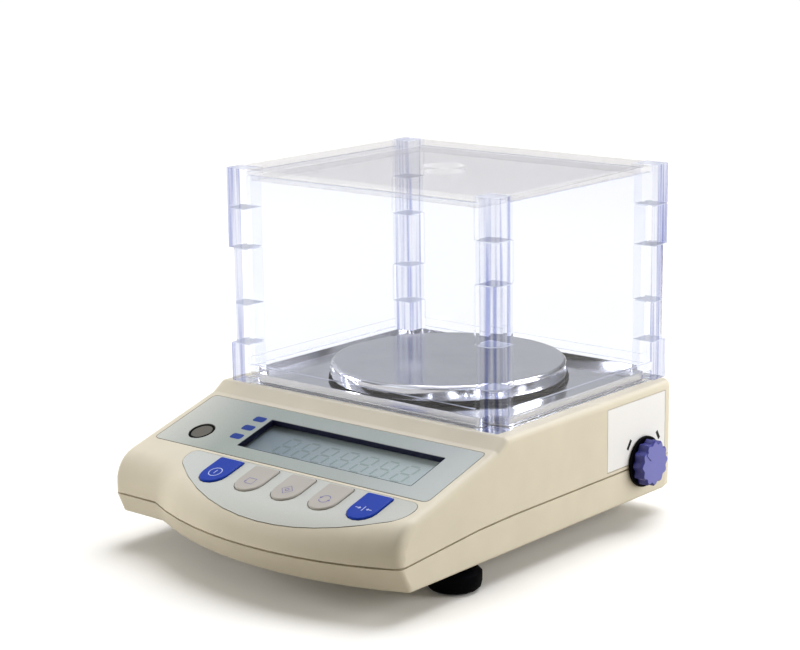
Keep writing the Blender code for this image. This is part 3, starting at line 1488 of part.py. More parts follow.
def make_cell(root, paints):
    """The load cell: a block cut through by a window, so that its ends stay parallel as it bends."""
    low = (-CELL_HALF_WIDTH, CELL_FRONT_Y, CELL_LOW)
    high = (CELL_HALF_WIDTH, CELL_REAR_Y, CELL_TOP)
    cell = piece("load_cell", box(low, high), paints["aluminium"], root)
    window = box(
        (-CELL_HALF_WIDTH - OVERRUN, CELL_WINDOW_START_Y, CELL_LOW + CELL_FLEXURE),
        (CELL_HALF_WIDTH + OVERRUN, CELL_WINDOW_END_Y, CELL_TOP - CELL_FLEXURE),
    )
    cut(cell, helper("cell_window", window, root))
    bolt_holes = pins(
        cell_bolt_places(), CELL_BOLT_RADIUS + GAP, CELL_LOW - OVERRUN, CELL_LOW + CELL_BOLT_REACH + GAP, TINY
    )
    arm_hole = pins(
        [(0, 0)],
        SCREW_RADIUS + GAP,
        CELL_REAR_Y - ARM_BOLT_REACH - GAP,
        CELL_REAR_Y + OVERRUN,
        TINY,
    )
    middle = (CELL_LOW + CELL_TOP) / 2
    merge_into(bolt_holes, facing_rear(arm_hole, 0, middle))
    cut(cell, helper("cell_holes", bolt_holes, root))
    sensor_y = (CELL_WINDOW_START_Y + CELL_WINDOW_END_Y) / 2
    sensor_low = CELL_LOW + CELL_FLEXURE + GAP
    sensor = box(
        (-SENSOR_HALF_WIDTH, sensor_y - SENSOR_LENGTH / 2, sensor_low),
        (SENSOR_HALF_WIDTH, sensor_y + SENSOR_LENGTH / 2, sensor_low + SENSOR_HEIGHT),
    )
    piece("force_sensor", sensor, paints["grey_plastic"], root)
    start = CHASSIS_LOW - GAP
    reach = CELL_LOW + CELL_BOLT_REACH - start
    for name, (x, y) in zip(("front", "rear"), cell_bolt_places()):
        shape = screw(CELL_BOLT_RADIUS, reach, CELL_BOLT_HEAD_RADIUS, CELL_BOLT_HEAD_HEIGHT)
        piece("cell_bolt_" + name, shape, paints["plated_steel"], root, (x, y, start))


# Knob, cam and calibration weight


def knob_outline(shrink):
    """The knob's lobes, as points across its axis."""
    mean = (KNOB_TIP_RADIUS + KNOB_VALLEY_RADIUS) / 2 - shrink
    swing = (KNOB_TIP_RADIUS - KNOB_VALLEY_RADIUS) / 2
    count = KNOB_LOBES * KNOB_LOBE_STEPS
    ring = []
    for k in range(count):
        angle = math.tau * k / count
        radius = mean + swing * math.cos(KNOB_LOBES * angle)
        ring.append((radius * math.cos(angle), radius * math.sin(angle)))
    return ring


def cam_outline():
    """The spiral that lifts, then the base circle. Points run round the axis, X is down and Y to the rear."""
    outline = []
    for k in range(CAM_STEPS + 1):
        turn = CAM_SWEEP * k / CAM_STEPS
        radius = CAM_HIGH - (CAM_HIGH - CAM_LOW) * k / CAM_STEPS
        outline.append((-radius * math.cos(turn), -radius * math.sin(turn)))
    rest = math.tau - CAM_SWEEP
    for k in range(1, CAM_STEPS):
        turn = CAM_SWEEP + rest * k / CAM_STEPS
        outline.append((-CAM_BASE * math.cos(turn), -CAM_BASE * math.sin(turn)))
    return outline


def make_knob(root, paints):
    """Everything that turns with the knob. The axis points along X, and each piece's own Z runs along it."""
    axis = empty("knob_axis", root, (0, KNOB_Y, KNOB_Z), (0, math.pi / 2, 0))
    skirt_end = SKIRT_X + SKIRT_THICKNESS
    skirt = piece(
        "knob_skirt", pins([(0, 0)], SKIRT_RADIUS, SKIRT_X, skirt_end, ROUND), paints["dark_plastic"], axis
    )
    knob_start = skirt_end + GAP
    face = KNOB_FACE_X - POINTER_HEIGHT
    rings = []
    for shrink, level in ((0, knob_start), (0, face - KNOB_EDGE), (KNOB_EDGE, face)):
        rings.append([(x, y, level) for x, y in knob_outline(shrink)])
    knob = piece("cal_knob", add_loft(bmesh.new(), rings), paints["knob_violet"], axis)
    pointer = box(
        (-KNOB_VALLEY_RADIUS + KNOB_EDGE, -POINTER_WIDTH / 2, face - POINTER_HEIGHT),
        (-POINTER_START, POINTER_WIDTH / 2, KNOB_FACE_X),
    )
    pointer.transform(Matrix.Rotation(POINTER_ANGLE, 4, "Z"))
    fuse(knob, helper("knob_pointer", pointer, axis))
    shaft_end = knob_start + KNOB_BORE
    bore = pins([(0, 0)], SHAFT_RADIUS + GAP, SKIRT_X - OVERRUN, shaft_end + GAP)
    bore_cut = helper("knob_bore", bore, axis)
    cut(knob, bore_cut)
    cut(skirt, bore_cut)
    shaft = pins([(0, 0)], SHAFT_RADIUS, SHAFT_START_X, shaft_end)
    piece("cal_shaft", shaft, paints["plated_steel"], axis)
    cam = piece(
        "cal_cam", prism(cam_outline(), CAM_X, CAM_X + CAM_WIDTH), paints["grey_plastic"], axis
    )
    cam_bore = pins([(0, 0)], SHAFT_RADIUS + GAP, CAM_X - OVERRUN, CAM_X + CAM_WIDTH + OVERRUN)
    cut(cam, helper("cam_bore", cam_bore, axis))


def guide_places():
    return [(GUIDE_X, KNOB_Y - GUIDE_OFFSET), (GUIDE_X, KNOB_Y + GUIDE_OFFSET)]


def make_bracket(root, paints):
    """The shaft's bearings, and the posts that guide the lifter."""
    end_x = BRACKET_X + BRACKET_WIDTH
    base = box(
        (BRACKET_X, KNOB_Y - BRACKET_HALF_LENGTH, BRACKET_LOW),
        (end_x, KNOB_Y + BRACKET_HALF_LENGTH, BRACKET_TOP),
    )
    bracket = piece("shaft_bracket", base, paints["plated_steel"], root)
    extras = bmesh.new()
    inside = BRACKET_TOP - BRACKET_SHEET / 2
    for x in (BRACKET_X, end_x - EAR_THICKNESS):
        add_box(
            extras,
            (x, KNOB_Y - EAR_HALF_LENGTH, inside),
            (x + EAR_THICKNESS, KNOB_Y + EAR_HALF_LENGTH, KNOB_Z + EAR_TOP),
        )
    add_pins(extras, guide_places(), GUIDE_RADIUS, inside, BRACKET_TOP + GUIDE_HEIGHT, TINY)
    fuse(bracket, helper("bracket_ears", extras, root))
    bore = pins([(0, 0)], SHAFT_RADIUS + GAP, BRACKET_X - OVERRUN, end_x + OVERRUN)
    cut(bracket, helper("bearing_bore", bore, root, (0, KNOB_Y, KNOB_Z), (0, math.pi / 2, 0)))


def make_weight(root, paints):
    """The weight in its cradle, and the lifter's plate on the guide posts."""
    plate = box(
        (WEIGHT_X - LIFTER_LEFT, KNOB_Y - LIFTER_HALF_LENGTH, LIFTER_LOW),
        (WEIGHT_X + LIFTER_RIGHT, KNOB_Y + LIFTER_HALF_LENGTH, LIFTER_TOP),
    )
    lifter = piece("weight_lifter", plate, paints["grey_plastic"], root)
    cradle = box(
        (WEIGHT_X - CRADLE_HALF_WIDTH, KNOB_Y - CRADLE_HALF_LENGTH, LIFTER_TOP - LIFTER_THICKNESS / 2),
        (WEIGHT_X + CRADLE_HALF_WIDTH, KNOB_Y + CRADLE_HALF_LENGTH, LIFTER_TOP + CRADLE_HEIGHT),
    )
    fuse(lifter, helper("cradle_block", cradle, root))
    along_x = (0, math.pi / 2, 0)
    groove_end = CRADLE_HALF_WIDTH + OVERRUN
    groove = pins([(0, 0)], WEIGHT_RADIUS + GAP, -groove_end, groove_end, MEDIUM)
    cut(lifter, helper("cradle_groove", groove, root, (WEIGHT_X, KNOB_Y, WEIGHT_Z), along_x))
    holes = pins(guide_places(), GUIDE_RADIUS + GAP, LIFTER_LOW - OVERRUN, LIFTER_TOP + OVERRUN, TINY)
    cut(lifter, helper("guide_holes", holes, root))
    half = WEIGHT_LENGTH / 2
    profile = [
        (0, -half - JOURNAL_LENGTH),
        (JOURNAL_RADIUS, -half - JOURNAL_LENGTH),
        (JOURNAL_RADIUS, -half),
        (WEIGHT_RADIUS, -half),
        (WEIGHT_RADIUS, half),
        (JOURNAL_RADIUS, half),
        (JOURNAL_RADIUS, half + JOURNAL_LENGTH),
        (0, half + JOURNAL_LENGTH),
    ]
    piece("cal_weight", turned(profile, MEDIUM), paints["brass"], root, (WEIGHT_X, KNOB_Y, WEIGHT_Z), along_x)


def make_arm(root, paints):
    """The fork on the load cell's moving end, which takes the weight when it is lowered."""
    fork_left = WEIGHT_X - WEIGHT_LENGTH / 2 - JOURNAL_LENGTH
    fork_right = WEIGHT_X + WEIGHT_LENGTH / 2 + JOURNAL_LENGTH
    start = CELL_REAR_Y + GAP
    end = start + ARM_SHEET
    top = WEIGHT_Z + ARM_TOP
    plate = box((-CELL_HALF_WIDTH, start, top - ARM_PLATE_HEIGHT), (fork_right, end, top))
    arm = piece("weight_arm", plate, paints["aluminium"], root)
    forks = bmesh.new()
    for x in (fork_left, fork_right - ARM_WIDTH):
        add_box(
            forks,
            (x, end - ARM_SHEET / 2, top - ARM_HEIGHT),
            (x + ARM_WIDTH, KNOB_Y + ARM_REACH, top),
        )
    fuse(arm, helper("forks", forks, root))
    slot_half = JOURNAL_RADIUS + GAP
    slot = box(
        (fork_left - OVERRUN, KNOB_Y - slot_half, WEIGHT_Z - LIFT - JOURNAL_RADIUS - GAP),
        (fork_right + OVERRUN, KNOB_Y + slot_half, top + OVERRUN),
    )
    cut(arm, helper("fork_slots", slot, root))
    middle = (CELL_LOW + CELL_TOP) / 2
    hole = pins([(0, 0)], SCREW_RADIUS + GAP, start - OVERRUN, end + OVERRUN, TINY)
    cut(arm, helper("arm_hole", facing_rear(hole, 0, middle), root))
    bolt = screw(SCREW_RADIUS, ARM_SHEET + GAP + ARM_BOLT_REACH, SCREW_HEAD_RADIUS, SCREW_HEAD_HEIGHT)
    forward = (math.pi / 2, 0, 0)
    piece("arm_bolt", bolt, paints["plated_steel"], root, (0, end + GAP, middle), forward)


# Main board, connectors and cable


def make_main_board(root, paints):
    board = piece(
        "main_board",
        box((-MAIN_LEFT, MAIN_FRONT_Y, MAIN_LOW), (-MAIN_RIGHT, MAIN_REAR_Y, MAIN_TOP)),
        paints["circuit_board"],
        root,
    )
    parts = bmesh.new()
    middle_x = -(MAIN_LEFT + MAIN_RIGHT) / 2
    chip_y = MAIN_FRONT_Y + CHIP_SIZE + CABLE_LAND
    inside = MAIN_TOP - BOARD_THICKNESS / 2
    chip_end = (middle_x + CHIP_SIZE, chip_y + CHIP_SIZE, MAIN_TOP + CHIP_HEIGHT)
    add_box(parts, (middle_x, chip_y, inside), chip_end)
    can_x = middle_x - CHIP_SIZE
    add_pins(parts, [(can_x, chip_y + CHIP_SIZE / 2)], CAN_RADIUS, inside, MAIN_TOP + CAN_HEIGHT)
    fuse(board, helper("board_parts", parts, root))
    holes = pins(standoff_places(), PEG_RADIUS + GAP, MAIN_LOW - OVERRUN, MAIN_TOP + OVERRUN, TINY)
    cut(board, helper("main_board_holes", holes, root))


def make_inlet(root, paints):
    start = INNER_REAR_Y - INLET_LENGTH
    half = INLET_WIDTH / 2
    body_end = (-INLET_X + half, INNER_REAR_Y, SOCKET_LOW + INLET_HEIGHT)
    body = box((-INLET_X - half, start, SOCKET_LOW), body_end)
    inlet = piece("power_inlet", body, paints["dark_plastic"], root)
    barrel = pins([(0, 0)], INLET_BARREL_RADIUS, INNER_REAR_Y - WALL, REAR_Y)
    fuse(inlet, helper("inlet_barrel", facing_rear(barrel, -INLET_X, inlet_z()), root))
    bore_end = REAR_Y - INLET_BORE_DEPTH
    bore = pins([(0, 0)], INLET_BORE_RADIUS, bore_end, REAR_Y + OVERRUN)
    cut(inlet, helper("inlet_bore", facing_rear(bore, -INLET_X, inlet_z()), root))
    pin = pins([(0, 0)], INLET_PIN_RADIUS, bore_end - OVERRUN, bore_end + INLET_PIN_LENGTH, TINY)
    fuse(inlet, helper("inlet_pin", facing_rear(pin, -INLET_X, inlet_z()), root))


def make_serial(root, paints):
    """The nine-way connector: its flange lies inside the rear wall, and its shell stands out of it."""
    flange_y = INNER_REAR_Y - SERIAL_FLANGE_THICKNESS
    half = SERIAL_FLANGE_WIDTH / 2
    flange = box(
        (-SERIAL_X - half, flange_y, SOCKET_LOW),
        (-SERIAL_X + half, INNER_REAR_Y, SOCKET_LOW + SERIAL_FLANGE_HEIGHT),
    )
    serial = piece("serial_connector", flange, paints["plated_steel"], root)
    shell = facing_rear(prism(serial_outline(0)[::-1], flange_y, SHELL_Y), -SERIAL_X, serial_z())
    fuse(serial, helper("serial_shell", shell, root))
    body_half = SERIAL_BODY_WIDTH / 2
    body = box(
        (-SERIAL_X - body_half, flange_y - SERIAL_BODY_LENGTH, SOCKET_LOW),
        (-SERIAL_X + body_half, INNER_REAR_Y - SERIAL_FLANGE_THICKNESS / 2, serial_z()),
    )
    fuse(serial, helper("serial_body", body, root))
    places = [(-NUT_OFFSET, 0), (NUT_OFFSET, 0)]
    holes = pins(places, NUT_SHANK_RADIUS + GAP, flange_y - OVERRUN, INNER_REAR_Y + OVERRUN, TINY)
    cut(serial, helper("serial_holes", facing_rear(holes, -SERIAL_X, serial_z()), root))
    forward = (math.pi / 2, 0, 0)
    for name, (x, _) in zip(("left", "right"), places):
        nut = screw(NUT_SHANK_RADIUS, NUT_SHANK_LENGTH, NUT_RADIUS, SERIAL_REACH - GAP, TINY // 2)
        at = (x - SERIAL_X, REAR_Y + GAP, serial_z())
        piece("connector_nut_" + name, nut, paints["plated_steel"], root, at, forward)


def make_cable(root, paints):
    """The flat cable: from the display board's underside, back over the chassis, up to the main board."""
    sine, cosine = math.sin(CONSOLE_ANGLE), math.cos(CONSOLE_ANGLE)
    depth = BOARD_DEPTH + BOARD_THICKNESS + GAP + CABLE_THICKNESS
    start_v = -BOARD_TOP - CABLE_LAND
    under = [
        (CREASE_Y + v * cosine + depth * sine, CREASE_Z + v * sine - depth * cosine)
        for v in (start_v, -BOARD_TOP)
    ]
    land = MAIN_TOP + GAP
    path = points_2d(
        under[0],
        under[1],
        (CABLE_FRONT_Y, -CABLE_LOW),
        (CABLE_RISE_Y, -CABLE_LOW),
        (MAIN_FRONT_Y - CABLE_THICKNESS, land),
        (MAIN_FRONT_Y + CABLE_LAND, land),
    )
    outline = path + offset_path(path, CABLE_THICKNESS)[::-1]
    half = CABLE_WIDTH / 2
    rings = [[(x, y, z) for y, z in outline] for x in (CABLE_X - half, CABLE_X + half)]
    piece("display_cable", add_loft(bmesh.new(), rings), paints["grey_plastic"], root)


def build():
    clear_scene()
    paints = make_paints()
    root = empty("balance", None, (-CENTRE_X, -CENTRE_Y, DECK_HEIGHT))
    console = empty("console", root, (0, CREASE_Y, CREASE_Z), (CONSOLE_ANGLE, 0, 0))
    cutters = make_cutters(root, console)
    make_lower_case(root, cutters, paints["cream_plastic"])
    make_upper_case(root, console, cutters, paints["cream_plastic"])
    make_case_screws(root, paints["plated_steel"])
    make_films(root, console, cutters, paints)
    make_display(console, paints)
    make_keys(console, paints)
    make_level(root, console, paints)
    make_tray(root, paints)
    make_ring(root, paints)
    make_pan(root, paints)
    make_support(root, paints)
    make_shield(root, paints)
    make_feet(root, paints)
    make_chassis(root, paints)
    make_cell(root, paints)
    make_knob(root, paints)
    make_bracket(root, paints)
    make_weight(root, paints)
    make_arm(root, paints)
    make_main_board(root, paints)
    make_inlet(root, paints)
    make_serial(root, paints)
    make_cable(root, paints)


build()
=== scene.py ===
"""An electronic balance with a clear draft shield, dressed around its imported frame.

Lengths are in metres in the frame's own axes: X to the right, Y to the rear, Z up from the floor.
"""
import json
import math

import bmesh
import bpy
from mathutils import Matrix, Vector


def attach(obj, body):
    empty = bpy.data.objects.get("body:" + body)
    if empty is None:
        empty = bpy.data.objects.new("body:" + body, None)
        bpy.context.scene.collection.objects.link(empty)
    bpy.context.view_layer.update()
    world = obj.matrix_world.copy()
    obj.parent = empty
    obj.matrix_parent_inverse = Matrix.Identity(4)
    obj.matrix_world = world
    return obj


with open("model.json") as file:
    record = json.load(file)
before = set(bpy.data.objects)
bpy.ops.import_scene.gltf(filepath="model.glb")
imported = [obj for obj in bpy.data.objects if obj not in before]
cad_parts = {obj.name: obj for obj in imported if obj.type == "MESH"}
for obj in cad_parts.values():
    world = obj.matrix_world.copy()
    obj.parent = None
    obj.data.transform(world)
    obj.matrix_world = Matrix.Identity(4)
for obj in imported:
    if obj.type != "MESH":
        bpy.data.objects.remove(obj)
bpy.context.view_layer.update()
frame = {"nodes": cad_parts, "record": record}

NODES = frame["nodes"]

# The centre of the pan on the deck, from which the case's own places are counted
DECK = Vector((-0.00395, 0.04415, 0.0672))
CONSOLE_ANGLE = math.radians(16.6)
CREASE = Vector((0, -0.0766, -0.00474))


# ---------------------------------------------------------------- materials

def srgb(r, g, b):
    """A colour written in 0 to 255 as a linear colour."""
    out = []
    for c in (r, g, b):
        c /= 255
        out.append(c / 12.92 if c <= 0.04045 else ((c + 0.055) / 1.055) ** 2.4)
    return (*out, 1)


class Paint:
    """A material under construction: its node tree and its Principled shader."""

    def __init__(self, name):
        self.material = bpy.data.materials.new(name)
        self.material.use_nodes = True
        self.tree = self.material.node_tree
        self.shader = self.tree.nodes["Principled BSDF"]
        self.output = self.tree.nodes["Material Output"]
        self.coords = self.add("ShaderNodeTexCoord").outputs["Object"]

    def add(self, kind, **values):
        node = self.tree.nodes.new(kind)
        for key, value in values.items():
            setattr(node, key, value)
        return node

    def link(self, a, b):
        self.tree.links.new(a, b)

    def set(self, **values):
        for key, value in values.items():
            self.shader.inputs[key.replace("_", " ")].default_value = value

    def noise(self, scale, detail=3, roughness=0.55, stretch=(1, 1, 1)):
        mapping = self.add("ShaderNodeMapping")
        mapping.inputs["Scale"].default_value = stretch
        self.link(self.coords, mapping.inputs["Vector"])
        node = self.add("ShaderNodeTexNoise")
        node.inputs["Scale"].default_value = scale
        node.inputs["Detail"].default_value = detail
        node.inputs["Roughness"].default_value = roughness
        self.link(mapping.outputs["Vector"], node.inputs["Vector"])
        return node.outputs["Fac"]

    def ramp(self, factor, low, high, a=0.0, b=1.0):
        node = self.add("ShaderNodeValToRGB")
        node.color_ramp.elements[0].position = a
        node.color_ramp.elements[0].color = low
        node.color_ramp.elements[1].position = b
        node.color_ramp.elements[1].color = high
        self.link(factor, node.inputs["Fac"])
        return node.outputs["Color"]

    def span(self, factor, low, high):
        node = self.add("ShaderNodeMapRange")
        node.inputs["From Min"].default_value = 0.3
        node.inputs["From Max"].default_value = 0.7
        node.inputs["To Min"].default_value = low
        node.inputs["To Max"].default_value = high
        self.link(factor, node.inputs["Value"])
        return node.outputs["Result"]

    def bump(self, height, distance, strength=1.0):
        node = self.add("ShaderNodeBump")
        node.inputs["Distance"].default_value = distance
        node.inputs["Strength"].default_value = strength
        self.link(height, node.inputs["Height"])
        self.link(node.outputs["Normal"], self.shader.inputs["Normal"])


def shade(color, factor):
    return (*(c * factor for c in color[:3]), 1)


def moulded(name, color, roughness, grain=2200, depth=0.00002, mottle=0.03, side=None, face=None, gloss=0.5):
    """Moulded plastic or film: a fine grain, a faint mottle and slightly uneven gloss.

    A side colour is used where the surface doesn't look towards the face direction.
    """
    p = Paint(name)
    wide = p.noise(45, 2)
    body = p.ramp(wide, shade(color, 1 - mottle), shade(color, 1 + mottle), 0.3, 0.7)
    if side:
        turned = p.add("ShaderNodeVectorMath", operation="DOT_PRODUCT")
        p.link(p.add("ShaderNodeNewGeometry").outputs["True Normal"], turned.inputs[0])
        turned.inputs[1].default_value = face
        edge = p.add("ShaderNodeMapRange")
        edge.inputs["From Min"].default_value = 0.75
        edge.inputs["From Max"].default_value = 0.9
        p.link(turned.outputs["Value"], edge.inputs["Value"])
        mix = p.add("ShaderNodeMix", data_type="RGBA")
        mix.inputs["A"].default_value = side
        p.link(edge.outputs["Result"], mix.inputs["Factor"])
        p.link(body, mix.inputs["B"])
        body = mix.outputs["Result"]
    p.link(body, p.shader.inputs["Base Color"])
    fine = p.noise(grain, 2, 0.5)
    p.link(p.span(fine, roughness - 0.04, roughness + 0.04), p.shader.inputs["Roughness"])
    p.set(Specular_IOR_Level=gloss)
    if depth:
        p.bump(fine, depth, 0.6)
    return p


def film_with_painted_light(name, painted_light_stops):
    """Pale printed film with a darker cut edge, and painted light across the console: its colour ramps along
    X through the given stops, lighter and darker along the film rather than in its own tone.
    """
    p = moulded(name, FILM, 0.3, 3000, 0.0, 0.015, srgb(120, 120, 108), CONSOLE_UP, 0.4)
    split = p.add("ShaderNodeSeparateXYZ")
    p.link(p.add("ShaderNodeNewGeometry").outputs["Position"], split.inputs["Vector"])
    along = p.add("ShaderNodeMapRange")
    along.inputs["From Min"].default_value = DECK.x - 0.09
    along.inputs["From Max"].default_value = DECK.x + 0.09
    p.link(split.outputs["X"], along.inputs["Value"])
    ramp = p.add("ShaderNodeValToRGB")
    elements = ramp.color_ramp.elements
    for place, color in painted_light_stops:
        elements.new(place).color = color
    elements.remove(elements[0])
    elements.remove(elements[-1])
    p.link(along.outputs["Result"], ramp.inputs["Fac"])
    mix = p.shader.inputs["Base Color"].links[0].from_node
    p.link(ramp.outputs["Color"], mix.inputs["B"])
    return p


def lcd_with_painted_light(name, left, right):
    """The display's grey-green with painted light across it: darker at the left, where the recess shades the
    glass, and lighter towards the right.
    """
    p = Paint(name)
    split = p.add("ShaderNodeSeparateXYZ")
    p.link(p.add("ShaderNodeNewGeometry").outputs["Position"], split.inputs["Vector"])
    along = p.add("ShaderNodeMapRange")
    along.inputs["From Min"].default_value = DECK.x - 0.045
    along.inputs["From Max"].default_value = DECK.x + 0.075
    p.link(split.outputs["X"], along.inputs["Value"])
    wave = p.noise(40, 2)
    total = p.add("ShaderNodeMath", operation="MULTIPLY_ADD")
    total.inputs[1].default_value = 0.12
    p.link(wave, total.inputs[0])
    p.link(along.outputs["Result"], total.inputs[2])
    p.link(p.ramp(total.outputs["Value"], left, right, 0.0, 1.05), p.shader.inputs["Base Color"])
    p.set(Roughness=0.35, Specular_IOR_Level=0.3)
    return p


def metal(name, color, roughness, stretch=(1, 1, 1), scale=60, depth=0.0, spread=0.03):
    """Polished, brushed or milled metal: its gloss and colour vary a little along the grain."""
    p = Paint(name)
    streaks = p.noise(scale, 3, 0.5, stretch)
    p.link(p.ramp(streaks, shade(color, 0.97), shade(color, 1.02), 0.3, 0.7), p.shader.inputs["Base Color"])
    p.link(p.span(streaks, roughness - spread, roughness + spread), p.shader.inputs["Roughness"])
    p.set(Metallic=1.0)
    if depth:
        p.bump(streaks, depth, 0.5)
    return p


def posts_painted_refraction(p, panel):
    """Painted refraction where the clear plates interlock as posts: a deeper tint with streaks that run up
    and down.
    """
    place = p.add("ShaderNodeNewGeometry").outputs["Position"]
    split = p.add("ShaderNodeSeparateXYZ")
    p.link(place, split.inputs["Vector"])
    near = []
    for axis, middle, half in (("X", DECK.x, POST_HALF_X), ("Y", DECK.y, POST_HALF_Y)):
        off = p.add("ShaderNodeMath", operation="SUBTRACT")
        off.inputs[1].default_value = middle
        p.link(split.outputs[axis], off.inputs[0])
        size = p.add("ShaderNodeMath", operation="ABSOLUTE")
        p.link(off.outputs["Value"], size.inputs[0])
        beyond = p.add("ShaderNodeMath", operation="GREATER_THAN")
        beyond.inputs[1].default_value = half
        p.link(size.outputs["Value"], beyond.inputs[0])
        near.append(beyond.outputs["Value"])
    both = p.add("ShaderNodeMath", operation="MULTIPLY")
    p.link(near[0], both.inputs[0])
    p.link(near[1], both.inputs[1])
    mapping = p.add("ShaderNodeMapping")
    mapping.inputs["Scale"].default_value = (1, 1, 0.02)
    p.link(place, mapping.inputs["Vector"])
    streak = p.add("ShaderNodeTexNoise")
    streak.inputs["Scale"].default_value = 460
    streak.inputs["Detail"].default_value = 1
    p.link(mapping.outputs["Vector"], streak.inputs["Vector"])
    tint = p.ramp(streak.outputs["Fac"], POST_REFRACTION_DEEP, POST_REFRACTION_PALE, 0.32, 0.58)
    mix = p.add("ShaderNodeMix", data_type="RGBA")
    mix.inputs["A"].default_value = panel
    p.link(both.outputs["Value"], mix.inputs["Factor"])
    p.link(tint, mix.inputs["B"])
    return both.outputs["Value"], mix.outputs["Result"]


def clear(name, color, posts=False, edge=None, upright=False, ior=1.04):
    """Clear moulded plastic: it lets light through almost unbent, with a tint and a glossy coat.

    The narrow faces along a plate's edges carry a painted highlight, paler and milkier than its wide ones.
    They are the level faces of an upright plate, apart from its foot on the deck, and the upright faces of a
    level one.
    """
    p = Paint(name)
    p.set(IOR=ior, Coat_Weight=0.4, Coat_IOR=1.4, Coat_Roughness=0.03)
    if posts:
        # Painted refraction in the posts: a deeper tint with up-and-down streaks, and less light let
        # through.
        inside, tint = posts_painted_refraction(p, color)
        through = p.add("ShaderNodeMapRange")
        through.inputs["To Min"].default_value = 0.97
        through.inputs["To Max"].default_value = 0.84
        p.link(inside, through.inputs["Value"])
        clearness = through.outputs["Result"]
    else:
        fine = p.noise(60, 2)
        tint = p.ramp(fine, shade(color, 0.985), color, 0.3, 0.7)
        clearness = None
    # Painted highlight: the narrow faces turn paler and milkier.
    if edge:
        split = p.add("ShaderNodeSeparateXYZ")
        p.link(p.add("ShaderNodeNewGeometry").outputs["True Normal"], split.inputs["Vector"])
        level = p.add("ShaderNodeMath", operation="ABSOLUTE")
        p.link(split.outputs["Z"], level.inputs[0])
        narrow = p.add("ShaderNodeMath", operation="GREATER_THAN" if upright else "LESS_THAN")
        narrow.inputs[1].default_value = 0.5
        p.link(level.outputs["Value"], narrow.inputs[0])
        if upright:
            place = p.add("ShaderNodeSeparateXYZ")
            p.link(p.add("ShaderNodeNewGeometry").outputs["Position"], place.inputs["Vector"])
            above = p.add("ShaderNodeMath", operation="GREATER_THAN")
            above.inputs[1].default_value = DECK.z + 0.004
            p.link(place.outputs["Z"], above.inputs[0])
            level = narrow
            narrow = p.add("ShaderNodeMath", operation="MULTIPLY")
            p.link(level.outputs["Value"], narrow.inputs[0])
            p.link(above.outputs["Value"], narrow.inputs[1])
        mix = p.add("ShaderNodeMix", data_type="RGBA")
        mix.inputs["B"].default_value = edge
        p.link(narrow.outputs["Value"], mix.inputs["Factor"])
        p.link(tint, mix.inputs["A"])
        tint = mix.outputs["Result"]
        clearer = p.add("ShaderNodeMix")
        clearer.inputs["A"].default_value = 0.97
        clearer.inputs["B"].default_value = 0.6 if upright else 0.85
        if clearness:
            p.link(clearness, clearer.inputs["A"])
        p.link(narrow.outputs["Value"], clearer.inputs["Factor"])
        clearness = clearer.outputs["Result"]
    p.link(tint, p.shader.inputs["Base Color"])
    if clearness:
        p.link(clearness, p.shader.inputs["Transmission Weight"])
    else:
        p.set(Transmission_Weight=0.97)
    wide = p.noise(45, 2)
    p.link(p.span(wide, 0.0, 0.02), p.shader.inputs["Roughness"])
    light = p.add("ShaderNodeLightPath")
    open_way = p.add("ShaderNodeBsdfTransparent")
    open_way.inputs["Color"].default_value = (0.925, 0.93, 0.95, 1)
    mix = p.add("ShaderNodeMixShader")
    either = p.add("ShaderNodeMath", operation="MAXIMUM")
    p.link(light.outputs["Is Shadow Ray"], either.inputs[0])
    p.link(light.outputs["Is Diffuse Ray"], either.inputs[1])
    p.link(either.outputs["Value"], mix.inputs["Fac"])
    p.link(p.shader.outputs["BSDF"], mix.inputs[1])
    p.link(open_way.outputs["BSDF"], mix.inputs[2])
    p.link(mix.outputs["Shader"], p.output.inputs["Surface"])
    return p


POST_HALF_X = 0.0744
POST_HALF_Y = 0.0590
# Colours of the painted refraction streaks in the posts.
POST_REFRACTION_DEEP = srgb(122, 132, 198)
POST_REFRACTION_PALE = srgb(234, 238, 252)
CREAM = srgb(224, 216, 196)
FILM = srgb(200, 205, 201)
CONSOLE_UP = (0, -math.sin(CONSOLE_ANGLE), math.cos(CONSOLE_ANGLE))

